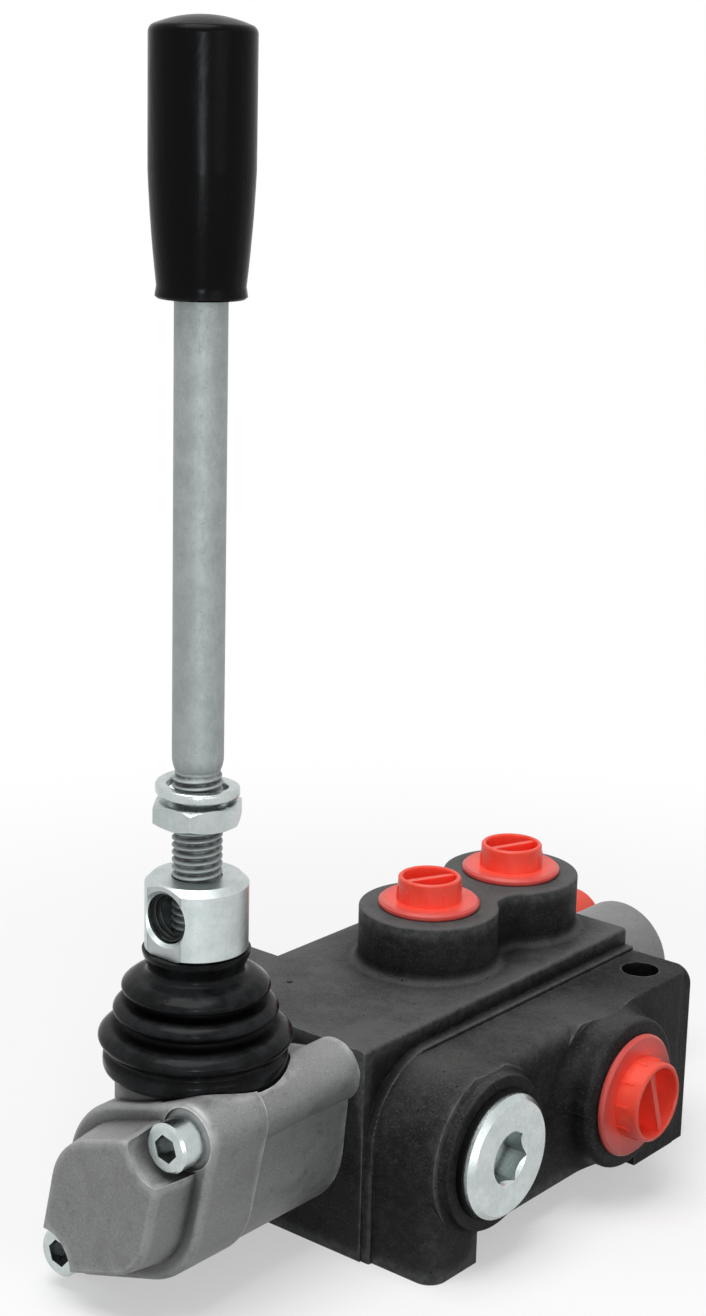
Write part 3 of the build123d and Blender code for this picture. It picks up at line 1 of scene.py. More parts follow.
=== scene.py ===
"""Looks of the hydraulic monoblock valve: materials, threads, boot, studio and camera.

Metres, in the CAD frame: +Z up, the spool along Y, the lever at the front (-Y).
"""
import math

import bmesh
import bpy
from mathutils import Matrix, Vector

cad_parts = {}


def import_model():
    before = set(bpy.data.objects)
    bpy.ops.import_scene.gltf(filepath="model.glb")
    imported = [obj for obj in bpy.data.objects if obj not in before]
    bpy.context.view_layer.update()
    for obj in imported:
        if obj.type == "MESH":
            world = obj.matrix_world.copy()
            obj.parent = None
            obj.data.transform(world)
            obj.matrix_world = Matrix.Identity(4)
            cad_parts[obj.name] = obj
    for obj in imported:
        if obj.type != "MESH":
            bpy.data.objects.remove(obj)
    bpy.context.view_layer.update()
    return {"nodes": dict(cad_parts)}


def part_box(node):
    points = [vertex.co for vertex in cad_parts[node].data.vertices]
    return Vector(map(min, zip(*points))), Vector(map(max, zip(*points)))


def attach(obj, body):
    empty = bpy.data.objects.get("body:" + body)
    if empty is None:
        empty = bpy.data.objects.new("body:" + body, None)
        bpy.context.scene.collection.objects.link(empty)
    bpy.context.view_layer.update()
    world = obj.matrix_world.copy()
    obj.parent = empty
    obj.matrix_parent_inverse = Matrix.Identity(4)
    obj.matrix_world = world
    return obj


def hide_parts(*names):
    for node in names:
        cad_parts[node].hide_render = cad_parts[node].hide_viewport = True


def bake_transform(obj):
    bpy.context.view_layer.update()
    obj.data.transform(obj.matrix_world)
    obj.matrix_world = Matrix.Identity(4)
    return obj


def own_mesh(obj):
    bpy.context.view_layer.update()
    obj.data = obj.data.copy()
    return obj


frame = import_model()
NODES = frame["nodes"]

MM = 0.001

# ------------------------------------------------------------ sizes


def centre(node):
    """Middle of a CAD node's box."""
    low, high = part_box(node)
    return Vector([(a + b) / 2 for a, b in zip(low, high)])


LEVER = centre("lever_rod")
HUB_LOW, HUB_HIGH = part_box("lever_hub")
ROD_LOW, ROD_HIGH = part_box("lever_rod")

# Borders of CAD faces closer than this are one edge; edges bent more than this stay sharp.
WELD_DISTANCE = 0.002 * MM
SHARP_DEGREES = 34.0

# Thread: flat share of its crests and roots, share of its flanks, height of a ring of points.
THREAD_PITCH = 1.5 * MM
THREAD_FLAT = 0.12
THREAD_FLANK = 0.72
THREAD_STEP = 0.11 * MM

# Lower end of the rod: rolled thread, its core at the start, the neck and the shoulder.
THREAD_CREST = 4.93 * MM
THREAD_ROOT = 4.12 * MM
THREAD_TOP = ROD_LOW[2] + 33.6 * MM
THREAD_RUN_OUT = 1.2 * MM
CORE_SHARE = 0.97
NECK_RADIUS = 4.42 * MM
NECK_LENGTH = 0.5 * MM
SHOULDER_LENGTH = 2.6 * MM
SHOULDER_POWER = 0.8

# The rod above: where the fine rings end, the plain rings, and the tip inside the knob.
ROD_RADIUS = (ROD_HIGH[0] - ROD_LOW[0]) / 2
ROD_STEPS = 96
ROD_PLAIN_START = THREAD_TOP + 4.0 * MM
ROD_PLAIN_STEP = 8.0 * MM
ROD_TIP = 1.2 * MM
ROD_TIP_ROUND = 1.0 * MM
ROD_TIP_SHARE = 0.9

# Split washer: rounded square wire, the rise between its ends, and the place of the gap.
WASHER_WIRE_WIDTH = 2.3 * MM
WASHER_WIRE_HEIGHT = 2.1 * MM
WASHER_CORNER = 0.6 * MM
WASHER_CORNER_STEPS = 4
WASHER_LIFT = 0.1 * MM
WASHER_RISE = 1.5 * MM
WASHER_SPLIT_DEGREES = 158.0
WASHER_GAP_DEGREES = 7.0
WASHER_STEPS = 120

# Inner thread of the open side hole in the lever block, from the flat inwards.
SIDE_HOLE_DROP = 6.8 * MM
SIDE_THREAD_START = 0.9 * MM
SIDE_THREAD_END = 4.2 * MM
SIDE_THREAD_OUTER = 4.98 * MM
SIDE_THREAD_INNER = 4.25 * MM
SIDE_THREAD_STEPS = 72

# From here on in millimetres, as the materials use them.
# Casting: its side wall and parting line, where it starts to be the right rear ear (left out of the
# dust and painted top light), the heights over which that dusty, painted-lighter top fades in,
# and a dark spot on the plateau.
SIDE_WALL_X = 40.8
PARTING_LINE_Z = 24.5
EAR_X = (23.0, 27.0)
EAR_Y = (4.0, 30.0)
TOP_Z = (38.0, 45.0)
PLATEAU_SPOT = (-12.9, -30.0, 46.5)
PLATEAU_SPOT_RADIUS = 0.9

# Painted shade: a dark ring on the turret of the box, under the boot.
TURRET_RADIUS = 16.5
TURRET_SHADE_Z = (40.0, 47.0)

# Cut flat of the lever block: depth that counts as the flat, and where it turns dullest.
FLAT_DEPTH = 0.04
FLAT_DULL_X = (4.0, 4.35)

# Push-in caps: the pink of the flange starts at this share of its radius, ends past its rim.
PINK_START = 0.66
PINK_PAST_RIM = 0.4

# ------------------------------------------------------------ node-tree helpers


class Tree:
    """Short names for building one material's node tree, in millimetres."""

    def __init__(self, name):
        self.material = bpy.data.materials.new(name)
        self.material.use_nodes = True
        self.nodes = self.material.node_tree.nodes
        self.links = self.material.node_tree.links
        self.nodes.clear()
        self.output = self.add("ShaderNodeOutputMaterial")
        self.shader = self.add("ShaderNodeBsdfPrincipled")
        self.links.new(self.shader.outputs[0], self.output.inputs[0])
        place = self.add("ShaderNodeTexCoord")
        scale = self.add("ShaderNodeVectorMath", operation="SCALE")
        scale.inputs["Scale"].default_value = 1000.0
        self.links.new(place.outputs["Object"], scale.inputs[0])
        self.mm = scale.outputs[0]

    def add(self, kind, **settings):
        node = self.nodes.new(kind)
        for key, value in settings.items():
            setattr(node, key, value)
        return node

    def put(self, socket, value):
        """Links another node's output, or sets a constant on the socket itself."""
        if isinstance(value, bpy.types.NodeSocket):
            self.links.new(value, socket)
        else:
            socket.default_value = value

    def stretched(self, x=1.0, y=1.0, z=1.0):
        """Coordinates in millimetres, squeezed along the axes."""
        node = self.add("ShaderNodeMapping")
        self.put(node.inputs["Vector"], self.mm)
        node.inputs["Scale"].default_value = (x, y, z)
        return node.outputs[0]

    def noise(self, size, detail=4.0, rough=0.55, at=None, distortion=0.0):
        """Noise whose features are about size millimetres across."""
        node = self.add("ShaderNodeTexNoise")
        self.put(node.inputs["Vector"], at or self.mm)
        node.inputs["Scale"].default_value = 1.0 / size
        node.inputs["Detail"].default_value = detail
        node.inputs["Roughness"].default_value = rough
        node.inputs["Distortion"].default_value = distortion
        return node.outputs["Fac"]

    def cells(self, size):
        """Distance from scattered points that are about size millimetres apart."""
        node = self.add("ShaderNodeTexVoronoi", feature="F1")
        self.put(node.inputs["Vector"], self.mm)
        node.inputs["Scale"].default_value = 1.0 / size
        node.inputs["Randomness"].default_value = 1.0
        return node.outputs["Distance"]

    def ramp(self, value, low, high, to_low=0.0, to_high=1.0):
        """Maps low..high to to_low..to_high, smoothly and clamped."""
        node = self.add("ShaderNodeMapRange", interpolation_type="SMOOTHSTEP")
        self.put(node.inputs["Value"], value)
        for key, number in zip(
            ("From Min", "From Max", "To Min", "To Max"), (low, high, to_low, to_high)
        ):
            node.inputs[key].default_value = number
        return node.outputs[0]

    def math(self, operation, a, b=0.0):
        node = self.add("ShaderNodeMath", operation=operation)
        self.put(node.inputs[0], a)
        self.put(node.inputs[1], b)
        return node.outputs[0]

    def times(self, a, b):
        return self.math("MULTIPLY", a, b)

    def but_not(self, value):
        """1 where a mask is 0, and the other way round."""
        return self.math("SUBTRACT", 1.0, value)

    def mix(self, factor, a, b):
        """Colour a where factor is 0, colour b where it is 1."""
        node = self.add("ShaderNodeMix", data_type="RGBA", blend_type="MIX")
        self.put(node.inputs["Factor"], factor)
        self.put(node.inputs["A"], a if isinstance(a, bpy.types.NodeSocket) else (*a, 1.0))
        self.put(node.inputs["B"], b if isinstance(b, bpy.types.NodeSocket) else (*b, 1.0))
        return node.outputs["Result"]

    def axes(self):
        """X, Y and Z in millimetres."""
        node = self.add("ShaderNodeSeparateXYZ")
        self.put(node.inputs[0], self.mm)
        return node.outputs

    def facing(self):
        """The surface normal's X, Y and Z."""
        geometry = self.add("ShaderNodeNewGeometry")
        node = self.add("ShaderNodeSeparateXYZ")
        self.put(node.inputs[0], geometry.outputs["Normal"])
        return node.outputs

    def distance(self, point):
        """Distance in millimetres from a point."""
        node = self.add("ShaderNodeVectorMath", operation="DISTANCE")
        self.put(node.inputs[0], self.mm)
        node.inputs[1].default_value = point
        return node.outputs["Value"]

    def from_axis(self, x, y):
        """Distance in millimetres from an upright axis."""
        axes = self.axes()
        across = self.math("SUBTRACT", axes["X"], x)
        along = self.math("SUBTRACT", axes["Y"], y)
        square = self.math("ADD", self.math("POWER", across, 2.0), self.math("POWER", along, 2.0))
        return self.math("SQRT", square)

    def round_axis(self, point, axis):
        """Distance in millimetres from the line through a point along X, Y or Z."""
        flat = [1.0, 1.0, 1.0]
        flat["XYZ".index(axis)] = 0.0
        off = self.add("ShaderNodeVectorMath", operation="SUBTRACT")
        self.put(off.inputs[0], self.mm)
        off.inputs[1].default_value = point
        plane = self.add("ShaderNodeVectorMath", operation="MULTIPLY")
        self.put(plane.inputs[0], off.outputs[0])
        plane.inputs[1].default_value = flat
        length = self.add("ShaderNodeVectorMath", operation="LENGTH")
        self.put(length.inputs[0], plane.outputs[0])
        return length.outputs["Value"]

    def blot(self, point, radius):
        """A single ragged mark."""
        ragged = self.times(self.math("SUBTRACT", self.noise(0.7), 0.5), radius)
        return self.ramp(self.math("ADD", self.distance(point), ragged), radius, radius * 0.6)

    def cavity(self, reach, clear=0.75, deep=0.30):
        """1 deep inside sockets and grooves, 0 on open faces."""
        node = self.add("ShaderNodeAmbientOcclusion", samples=8, only_local=True)
        node.inputs["Distance"].default_value = reach * MM
        return self.ramp(node.outputs["AO"], clear, deep)

    def ridges(self, reach, clear=0.90, full=0.55):
        """1 along rounded outer edges, 0 on open faces."""
        node = self.add("ShaderNodeAmbientOcclusion", samples=8, only_local=True, inside=True)
        node.inputs["Distance"].default_value = reach * MM
        return self.ramp(node.outputs["AO"], clear, full)

    def edges(self, radius):
        """1 on edges that wear, 0 on open faces."""
        bevel = self.add("ShaderNodeBevel", samples=6)
        bevel.inputs["Radius"].default_value = radius * MM
        geometry = self.add("ShaderNodeNewGeometry")
        dot = self.add("ShaderNodeVectorMath", operation="DOT_PRODUCT")
        self.put(dot.inputs[0], bevel.outputs[0])
        self.put(dot.inputs[1], geometry.outputs["Normal"])
        return self.ramp(dot.outputs["Value"], 0.985, 0.86)

    def bump(self, height, depth, below=None):
        """Relief of depth millimetres."""
        node = self.add("ShaderNodeBump")
        node.inputs["Strength"].default_value = 1.0
        node.inputs["Distance"].default_value = depth * MM
        self.put(node.inputs["Height"], height)
        if below is not None:
            self.put(node.inputs["Normal"], below)
        return node.outputs[0]

    def surface(self, color, roughness, metallic, normal, **constants):
        """Fills in the shader; the further constants are named with _ for each space."""
        shader = self.shader.inputs
        self.put(shader["Base Color"], color)
        self.put(shader["Roughness"], roughness)
        self.put(shader["Metallic"], metallic)
        self.put(shader["Normal"], normal)
        for key, value in constants.items():
            self.put(shader[key.replace("_", " ")], value)
        return self.material


def grey(value, tint=(1.0, 1.0, 1.0)):
    """A grey of this reflectance, times a tint."""
    return tuple(value * t for t in tint)


# ------------------------------------------------------------ materials


def casting_material(name):
    """Sand-cast iron with a thin dark coat: grainy, rubbed on edges, dusty and painted lighter on
    top, with painted highlights on rounded ridges and painted shade in hollows and beneath.
    """
    t = Tree(name)
    grain = t.noise(0.42, detail=3.0, rough=0.8)
    lumps = t.noise(2.2, detail=5.0, rough=0.66)
    swell = t.noise(12.0, detail=2.0)
    stain = t.noise(18.0, detail=6.0, rough=0.68)
    speck = t.ramp(t.cells(1.6), 0.15, 0.03)
    pores = t.ramp(t.cells(3.2), 0.09, 0.03)
    base = t.mix(t.ramp(stain, 0.36, 0.64), grey(0.015), grey(0.027, (1.0, 0.99, 0.97)))
    base = t.mix(t.ramp(lumps, 0.42, 0.72, 0.0, 0.65), base, grey(0.046, (1.0, 0.995, 0.98)))
    base = t.mix(t.ramp(grain, 0.54, 0.74, 0.0, 0.75), base, grey(0.105))
    base = t.mix(t.ramp(grain, 0.46, 0.28, 0.0, 0.7), base, grey(0.007))
    place = t.axes()
    # Dust and painted top light: faces that look up are painted lighter, fading in with height; the
    # right rear ear is left out.
    up = t.times(t.ramp(t.facing()["Z"], 0.30, 0.92), t.ramp(place["Z"], *TOP_Z, 0.2, 1.0))
    ear = t.times(t.ramp(place["X"], *EAR_X), t.ramp(place["Y"], *EAR_Y))
    up = t.times(up, t.but_not(ear))
    dust = t.times(up, t.ramp(stain, 0.30, 0.66, 0.34, 0.72))
    dust = t.times(dust, t.ramp(grain, 0.25, 0.62, 0.55, 1.0))
    base = t.mix(dust, base, grey(0.150, (1.0, 1.0, 0.985)))
    past_wall = t.math("GREATER_THAN", place["X"], SIDE_WALL_X)
    # Painted highlight, partly wear: rounded ridges painted lighter, not on the right rear ear and
    # not past the side wall.
    soft = t.times(t.ridges(4.0, 0.96, 0.66), t.ramp(lumps, 0.34, 0.62, 0.4, 1.0))
    soft = t.times(soft, t.but_not(ear))
    soft = t.times(soft, t.but_not(past_wall))
    base = t.mix(soft, base, grey(0.110))
    worn = t.times(t.edges(0.7), t.ramp(t.noise(2.4), 0.38, 0.62, 0.2, 1.0))
    base = t.mix(worn, base, grey(0.19))
    base = t.mix(t.times(speck, 0.30), base, grey(0.20))
    base = t.mix(t.times(pores, 0.8), base, grey(0.006))
    base = t.mix(t.blot(PLATEAU_SPOT, PLATEAU_SPOT_RADIUS), base, grey(0.008))
    # Painted shade: hollows painted near black.
    base = t.mix(t.times(t.cavity(14.0, 0.96, 0.45), 0.85), base, grey(0.003))
    # Painted shade: faces that turn downwards painted darker.
    under = t.ramp(t.facing()["Z"], -0.10, -0.70, 0.0, 0.85)
    base = t.mix(under, base, grey(0.004))
    rough = t.ramp(lumps, 0.25, 0.75, 0.40, 0.60)
    seam = t.math("ABSOLUTE", t.math("SUBTRACT", place["Z"], PARTING_LINE_Z))
    seam = t.times(t.ramp(seam, 0.42, 0.16), past_wall)
    relief = t.bump(swell, 0.5)
    relief = t.bump(lumps, 0.32, relief)
    relief = t.bump(grain, 0.12, relief)
    relief = t.bump(t.times(pores, -1.0), 0.25, relief)
    relief = t.bump(seam, 0.3, relief)
    return t.surface(base, rough, 0.0, relief, Specular_IOR_Level=0.05)


def die_cast_material(name, tone=0.30, under_boot_shade=None):
    """Raw aluminium pressure die casting: satin, fine grained, edges rubbed bright, with painted
    highlights on rounded ridges and painted shade in hollows.

    under_boot_shade = (x, y, radius, low, high): painted shade round an upright axis, between two
    heights.
    """
    t = Tree(name)
    grain = t.noise(0.32, detail=3.0, rough=0.8)
    lumps = t.noise(2.6, detail=5.0, rough=0.66)
    flow = t.noise(11.0, detail=6.0, rough=0.66, at=t.stretched(1.0, 0.5, 1.0), distortion=0.8)
    pits = t.ramp(t.cells(2.2), 0.08, 0.03)
    base = t.mix(t.ramp(flow, 0.34, 0.66), grey(tone * 0.86), grey(tone, (0.985, 1.0, 0.99)))
    base = t.mix(t.ramp(lumps, 0.56, 0.76, 0.0, 0.35), base, grey(tone * 1.22))
    base = t.mix(t.ramp(lumps, 0.46, 0.28, 0.0, 0.55), base, grey(tone * 0.55))
    base = t.mix(t.ramp(grain, 0.54, 0.72, 0.0, 0.75), base, grey(tone * 1.55))
    base = t.mix(t.ramp(grain, 0.46, 0.30, 0.0, 0.8), base, grey(tone * 0.45))
    base = t.mix(t.times(pits, 0.7), base, grey(tone * 0.30))
    # Painted highlight, partly wear: rounded ridges painted lighter.
    soft = t.times(t.ridges(2.8, 0.86, 0.68), t.ramp(lumps, 0.34, 0.60, 0.25, 0.70))
    base = t.mix(soft, base, grey(tone * 1.7))
    worn = t.times(t.edges(0.4), t.ramp(t.noise(2.2), 0.40, 0.62, 0.15, 1.0))
    base = t.mix(worn, base, grey(0.85))
    # Painted shade: hollows painted dark.
    base = t.mix(t.times(t.cavity(12.0, 0.90, 0.50), 0.92), base, grey(tone * 0.09))
    # Painted shade under the boot: a ragged dark ring round the axis, between two heights.
    if under_boot_shade:
        x, y, radius, low, high = under_boot_shade
        near = t.ramp(t.from_axis(x, y), radius + 1.5, radius - 0.5)
        ragged = t.math("ADD", t.axes()["Z"], t.times(lumps, 2.0))
        near = t.times(near, t.ramp(ragged, low, high, 0.0, 1.0))
        base = t.mix(near, base, grey(tone * 0.20))
    rough = t.ramp(lumps, 0.25, 0.75, 0.36, 0.54)
    relief = t.bump(lumps, 0.10)
    relief = t.bump(grain, 0.06, relief)
    relief = t.bump(t.times(pits, -1.0), 0.08, relief)
    return t.surface(base, rough, 0.35, relief, Specular_IOR_Level=0.3)


def zinc_material(
    name, tone=0.66, rough=(0.26, 0.40), marks=0.5, rings=None, thread=None, metal=1.0,
    glints=0.0, milled=None, clear=0.75,
):
    """Bright zinc plate with a faint blue passivate, cloudy and lightly marked.

    marks = strength of the mottling; clear = how open a face must be to get no painted shade.
    glints = strength of small shiny spots; milled = y of a duller face cut flat.
    rings = (axis, x, y, z): turned faces get fine circles about that axis.
    thread = (x, y, root, crest, top): oily dirt and painted shade between the threads below that
    height.
    """
    t = Tree(name)
    cloud = t.noise(4.0, detail=6.0, rough=0.72)
    mottle = t.noise(0.9, detail=5.0, rough=0.74, at=t.stretched(1.0, 1.0, 0.5))
    fine = t.noise(0.34, detail=3.0, rough=0.75)
    streaks = t.noise(1.1, detail=4.0, rough=0.7, at=t.stretched(1.0, 1.0, 0.16), distortion=0.6)
    pits = t.ramp(t.cells(2.1), 0.10, 0.04)
    low = grey(tone * 0.92, (0.89, 1.0, 0.985))
    high = grey(tone * 1.07, (0.92, 1.0, 0.99))
    base = t.mix(t.ramp(cloud, 0.34, 0.66), low, high)
    base = t.mix(t.ramp(mottle, 0.56, 0.72, 0.0, marks), base, grey(tone * 0.72, (0.90, 1.0, 0.98)))
    base = t.mix(t.ramp(mottle, 0.42, 0.30, 0.0, marks), base, grey(min(0.92, tone * 1.3)))
    streak = grey(tone * 0.60, (0.93, 1.0, 0.99))
    base = t.mix(t.ramp(streaks, 0.60, 0.76, 0.0, marks), base, streak)
    base = t.mix(t.ramp(fine, 0.56, 0.74, 0.0, marks), base, grey(min(0.95, tone * 1.35)))
    base = t.mix(t.ramp(fine, 0.42, 0.28, 0.0, marks), base, grey(tone * 0.66, (0.92, 1.0, 0.99)))
    base = t.mix(t.times(pits, marks), base, grey(tone * 0.25))
    base = t.mix(t.times(t.edges(0.35), 0.5), base, grey(min(0.95, tone * 1.5)))
    # Painted shade: sockets, holes and thread roots painted dark.
    base = t.mix(t.times(t.cavity(4.0, clear, clear - 0.45), 0.85), base, grey(tone * 0.13))
    if thread:
        x, y, root, crest, top = thread
        # Oily dirt and painted shade: the thread roots below the top painted dark.
        groove = t.ramp(t.from_axis(x, y), crest - 0.12, root + 0.12)
        groove = t.times(groove, t.math("LESS_THAN", t.axes()["Z"], top))
        groove = t.times(groove, t.ramp(t.noise(2.0), 0.36, 0.60, 0.20, 0.9))
        base = t.mix(groove, base, grey(0.07))
    roughness = t.ramp(mottle, 0.25, 0.75, *rough)
    relief = t.bump(fine, 0.022)
    if milled is not None:
        cut = t.math("LESS_THAN", t.axes()["Y"], milled + FLAT_DEPTH)
        dull = t.ramp(t.math("ABSOLUTE", t.axes()["X"]), *FLAT_DULL_X, 0.5, 0.9)
        base = t.mix(t.times(cut, dull), base, grey(tone * 0.55, (0.94, 1.0, 0.99)))
    if glints:
        spot = t.times(t.ramp(t.cells(0.55), 0.30, 0.15), t.ramp(mottle, 0.50, 0.60))
        spot = t.times(spot, glints)
        roughness = t.math("SUBTRACT", roughness, t.times(spot, 0.30))
        relief = t.bump(spot, 0.05, relief)
    relief = t.bump(mottle, 0.028, relief)
    relief = t.bump(cloud, 0.05, relief)
    if rings:
        axis, *turned_about = rings
        radius = t.round_axis(turned_about, axis)
        lines = t.add("ShaderNodeTexNoise", noise_dimensions="1D")
        t.put(lines.inputs["W"], radius)
        lines.inputs["Scale"].default_value = 5.0
        lines.inputs["Detail"].default_value = 3.0
        relief = t.bump(lines.outputs["Fac"], 0.03, relief)
    return t.surface(base, roughness, metal, relief)


def steel_material(name, tone=0.5, rough=0.33):
    """Plain bare steel for the inner pieces."""
    t = Tree(name)
    cloud = t.noise(4.0, detail=5.0)
    base = t.mix(t.ramp(cloud, 0.3, 0.7), grey(tone * 0.85), grey(tone))
    relief = t.bump(t.noise(0.4, detail=2.0), 0.01)
    return t.surface(base, t.ramp(cloud, 0.3, 0.7, rough - 0.06, rough + 0.06), 1.0, relief)


def knob_material(name):
    """Glossy black moulded plastic with a faintly rippled skin."""
    t = Tree(name)
    ripple = t.noise(7.0, detail=3.0, at=t.stretched(1.0, 1.0, 0.45), distortion=0.8)
    orange = t.noise(0.9, detail=3.0, rough=0.7)
    dust = t.ramp(t.cells(2.6), 0.06, 0.02)
    base = t.mix(t.times(dust, 0.2), (0.0032, 0.0032, 0.0038), grey(0.10))
    base = t.mix(t.times(t.edges(0.9), 0.5), base, (0.030, 0.031, 0.034))
    rough = t.ramp(t.noise(6.0, detail=4.0), 0.3, 0.7, 0.22, 0.30)
    relief = t.bump(ripple, 0.14)
    relief = t.bump(orange, 0.016, relief)
    return t.surface(base, rough, 0.0, relief, Specular_IOR_Level=0.06)


def rubber_material(name, rough=(0.24, 0.42), dusty=0.5, rubbed=0.0):
    """Moulded black rubber: semi-gloss, dusty where it faces up, with painted shade that makes the
    folds black.

    rubbed = how grey the outer rims of the folds are painted, for wear and for sheen.
    """
    t = Tree(name)
    patch = t.noise(5.0, detail=5.0, rough=0.62)
    fine = t.noise(0.5, detail=3.0)
    deep = t.cavity(9.0, 0.85, 0.45)
    up = t.ramp(t.facing()["Z"], -0.1, 0.8)
    dust = t.noise(1.6, detail=5.0, rough=0.75)
    dust = t.times(t.ramp(dust, 0.42, 0.70, 0.0, dusty), up)
    # Wear and painted sheen: the outer rims of the folds painted grey.
    rims = t.times(t.ridges(3.6, 0.88, 0.62), t.ramp(patch, 0.36, 0.62, 0.3 * rubbed, rubbed))
    dust = t.math("MAXIMUM", dust, rims)
    base = t.mix(dust, grey(0.0030), (0.022, 0.0232, 0.0248))
    # Painted shade: the folds painted near black.
    base = t.mix(deep, base, grey(0.0010))
    gloss = t.math("ADD", t.ramp(patch, 0.3, 0.7, *rough), t.times(deep, 0.4))
    relief = t.bump(patch, 0.12)
    relief = t.bump(fine, 0.02, relief)
    return t.surface(base, gloss, 0.0, relief, Specular_IOR_Level=0.06)


def red_plastic_material(name, hub=None):
    """Soft red polyethylene: lets light through, so thin rims look paler and duller.

    hub = (x, y, z, axis, inner, outer): the flange round that axis turns from red to dusty pink.
    """
    t = Tree(name)
    cloud = t.noise(5.0, detail=4.0)
    base = t.mix(t.ramp(cloud, 0.3, 0.7), (0.98, 0.078, 0.044), (1.0, 0.100, 0.060))
    if hub:
        x, y, z, axis, inner, outer = hub
        radius = t.round_axis((x, y, z), axis)
        reach = t.math("ADD", radius, t.times(cloud, 0.8))
        base = t.mix(t.ramp(reach, inner, outer, 0.0, 0.62), base, (0.50, 0.105, 0.105))
    speck = t.ramp(t.cells(2.6), 0.09, 0.04)
    base = t.mix(t.times(speck, 0.4), base, (0.30, 0.03, 0.02))
    relief = t.bump(t.noise(2.2, detail=3.0), 0.06)
    relief = t.bump(t.noise(0.35, detail=2.0), 0.010, relief)
    return t.surface(
        base, t.ramp(cloud, 0.3, 0.7, 0.32, 0.45), 0.0, relief,
        Subsurface_Weight=0.6, Subsurface_Radius=(1.0, 0.2, 0.14), Subsurface_Scale=0.0040,
        Specular_IOR_Level=0.32,
    )


def paint(node, material):
    """Puts a material in every slot of a CAD node or piece."""
    slots = node.data.materials
    if not slots:
        slots.append(material)
    for i in range(len(slots)):
        slots[i] = material


# ------------------------------------------------------------ shading of the CAD nodes


def smooth_cad(node):
    """Joins the faces' borders, keeps real edges sharp and evens the shading."""
    for face in node.data.polygons:
        face.use_smooth = True
    weld = node.modifiers.new("join", "WELD")
    weld.merge_threshold = WELD_DISTANCE
    split = node.modifiers.new("edges", "EDGE_SPLIT")
    split.split_angle = math.radians(SHARP_DEGREES)
    normal = node.modifiers.new("shading", "WEIGHTED_NORMAL")
    normal.keep_sharp = True
    normal.weight = 80


# ------------------------------------------------------------ pieces of the scene's own


def link(name, data):
    """New object in the scene."""
    item = bpy.data.objects.new(name, data)
    bpy.context.scene.collection.objects.link(item)
    return item


def tube_faces(rings, steps):
    """Quads between closed rings of steps points each."""
    faces = []
    for j in range(rings - 1):
        for i in range(steps):
            k = (i + 1) % steps
            faces.append((j * steps + i, j * steps + k, (j + 1) * steps + k, (j + 1) * steps + i))
    return faces


def turned_piece(name, verts, faces):
    """New piece whose quads are smooth and whose end faces are flat."""
    mesh = bpy.data.meshes.new(name)
    mesh.from_pydata(verts, [], faces)
    for face in mesh.polygons:
        face.use_smooth = len(face.vertices) == 4
    return link(name, mesh)


def spaced(start, end, step):
    """Even steps from start to end, about step apart."""
    count = max(1, round((end - start) / step))
    return [start + (end - start) * i / count for i in range(count + 1)]


def thread_radius(angle, height, crest, root):
    """Radius of a rolled 60 degree thread with flat crests and roots."""
    turn = (height / THREAD_PITCH - angle / (2 * math.pi)) % 1.0
    rise = 1.0 - abs(2.0 * turn - 1.0)
    rise = min(1.0, max(0.0, (rise - THREAD_FLAT) / THREAD_FLANK))
    return root + (crest - root) * rise


def rod_radius(angle, height):
    """Threaded end, run-out, neck and shoulder, then the plain round rod."""
    thread = thread_radius(angle, height, THREAD_CREST, THREAD_ROOT)
    above = height - THREAD_TOP
    if above < -THREAD_RUN_OUT:
        core = THREAD_ROOT * CORE_SHARE
        lead = min(1.0, (height - ROD_LOW[2]) / THREAD_RUN_OUT)
        return core + (thread - core) * lead
    if above < 0.0:
        fade = -above / THREAD_RUN_OUT
        return NECK_RADIUS + (thread - NECK_RADIUS) * fade
    if above < NECK_LENGTH:
        return NECK_RADIUS
    run = min(1.0, (above - NECK_LENGTH) / SHOULDER_LENGTH)
    swell = math.sin(run * math.pi / 2) ** SHOULDER_POWER
    top = min(1.0, (ROD_HIGH[2] - height) / ROD_TIP_ROUND)
    narrowing = ROD_TIP_SHARE + (1.0 - ROD_TIP_SHARE) * top
    return (NECK_RADIUS + (ROD_RADIUS - NECK_RADIUS) * swell) * narrowing


def lever_rod_piece():
    """The lever rod with its thread: fine rings up to the shoulder, few above it."""
    tip = ROD_HIGH[2] - ROD_TIP
    heights = spaced(ROD_LOW[2], ROD_PLAIN_START, THREAD_STEP)
    heights += spaced(ROD_PLAIN_START, tip, ROD_PLAIN_STEP)[1:]
    heights += spaced(tip, ROD_HIGH[2], ROD_TIP / 4)[1:]
    verts = []
    for z in heights:
        for i in range(ROD_STEPS):
            a = 2 * math.pi * i / ROD_STEPS
            r = rod_radius(a, z)
            verts.append((LEVER.x + r * math.cos(a), LEVER.y + r * math.sin(a), z))
    faces = tube_faces(len(heights), ROD_STEPS)
    last = (len(heights) - 1) * ROD_STEPS
    faces.append(tuple(reversed(range(ROD_STEPS))))
    faces.append(tuple(last + i for i in range(ROD_STEPS)))
    piece = turned_piece("lever_rod_threaded", verts, faces)
    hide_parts("lever_rod")
    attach(piece, "lever")
    return piece


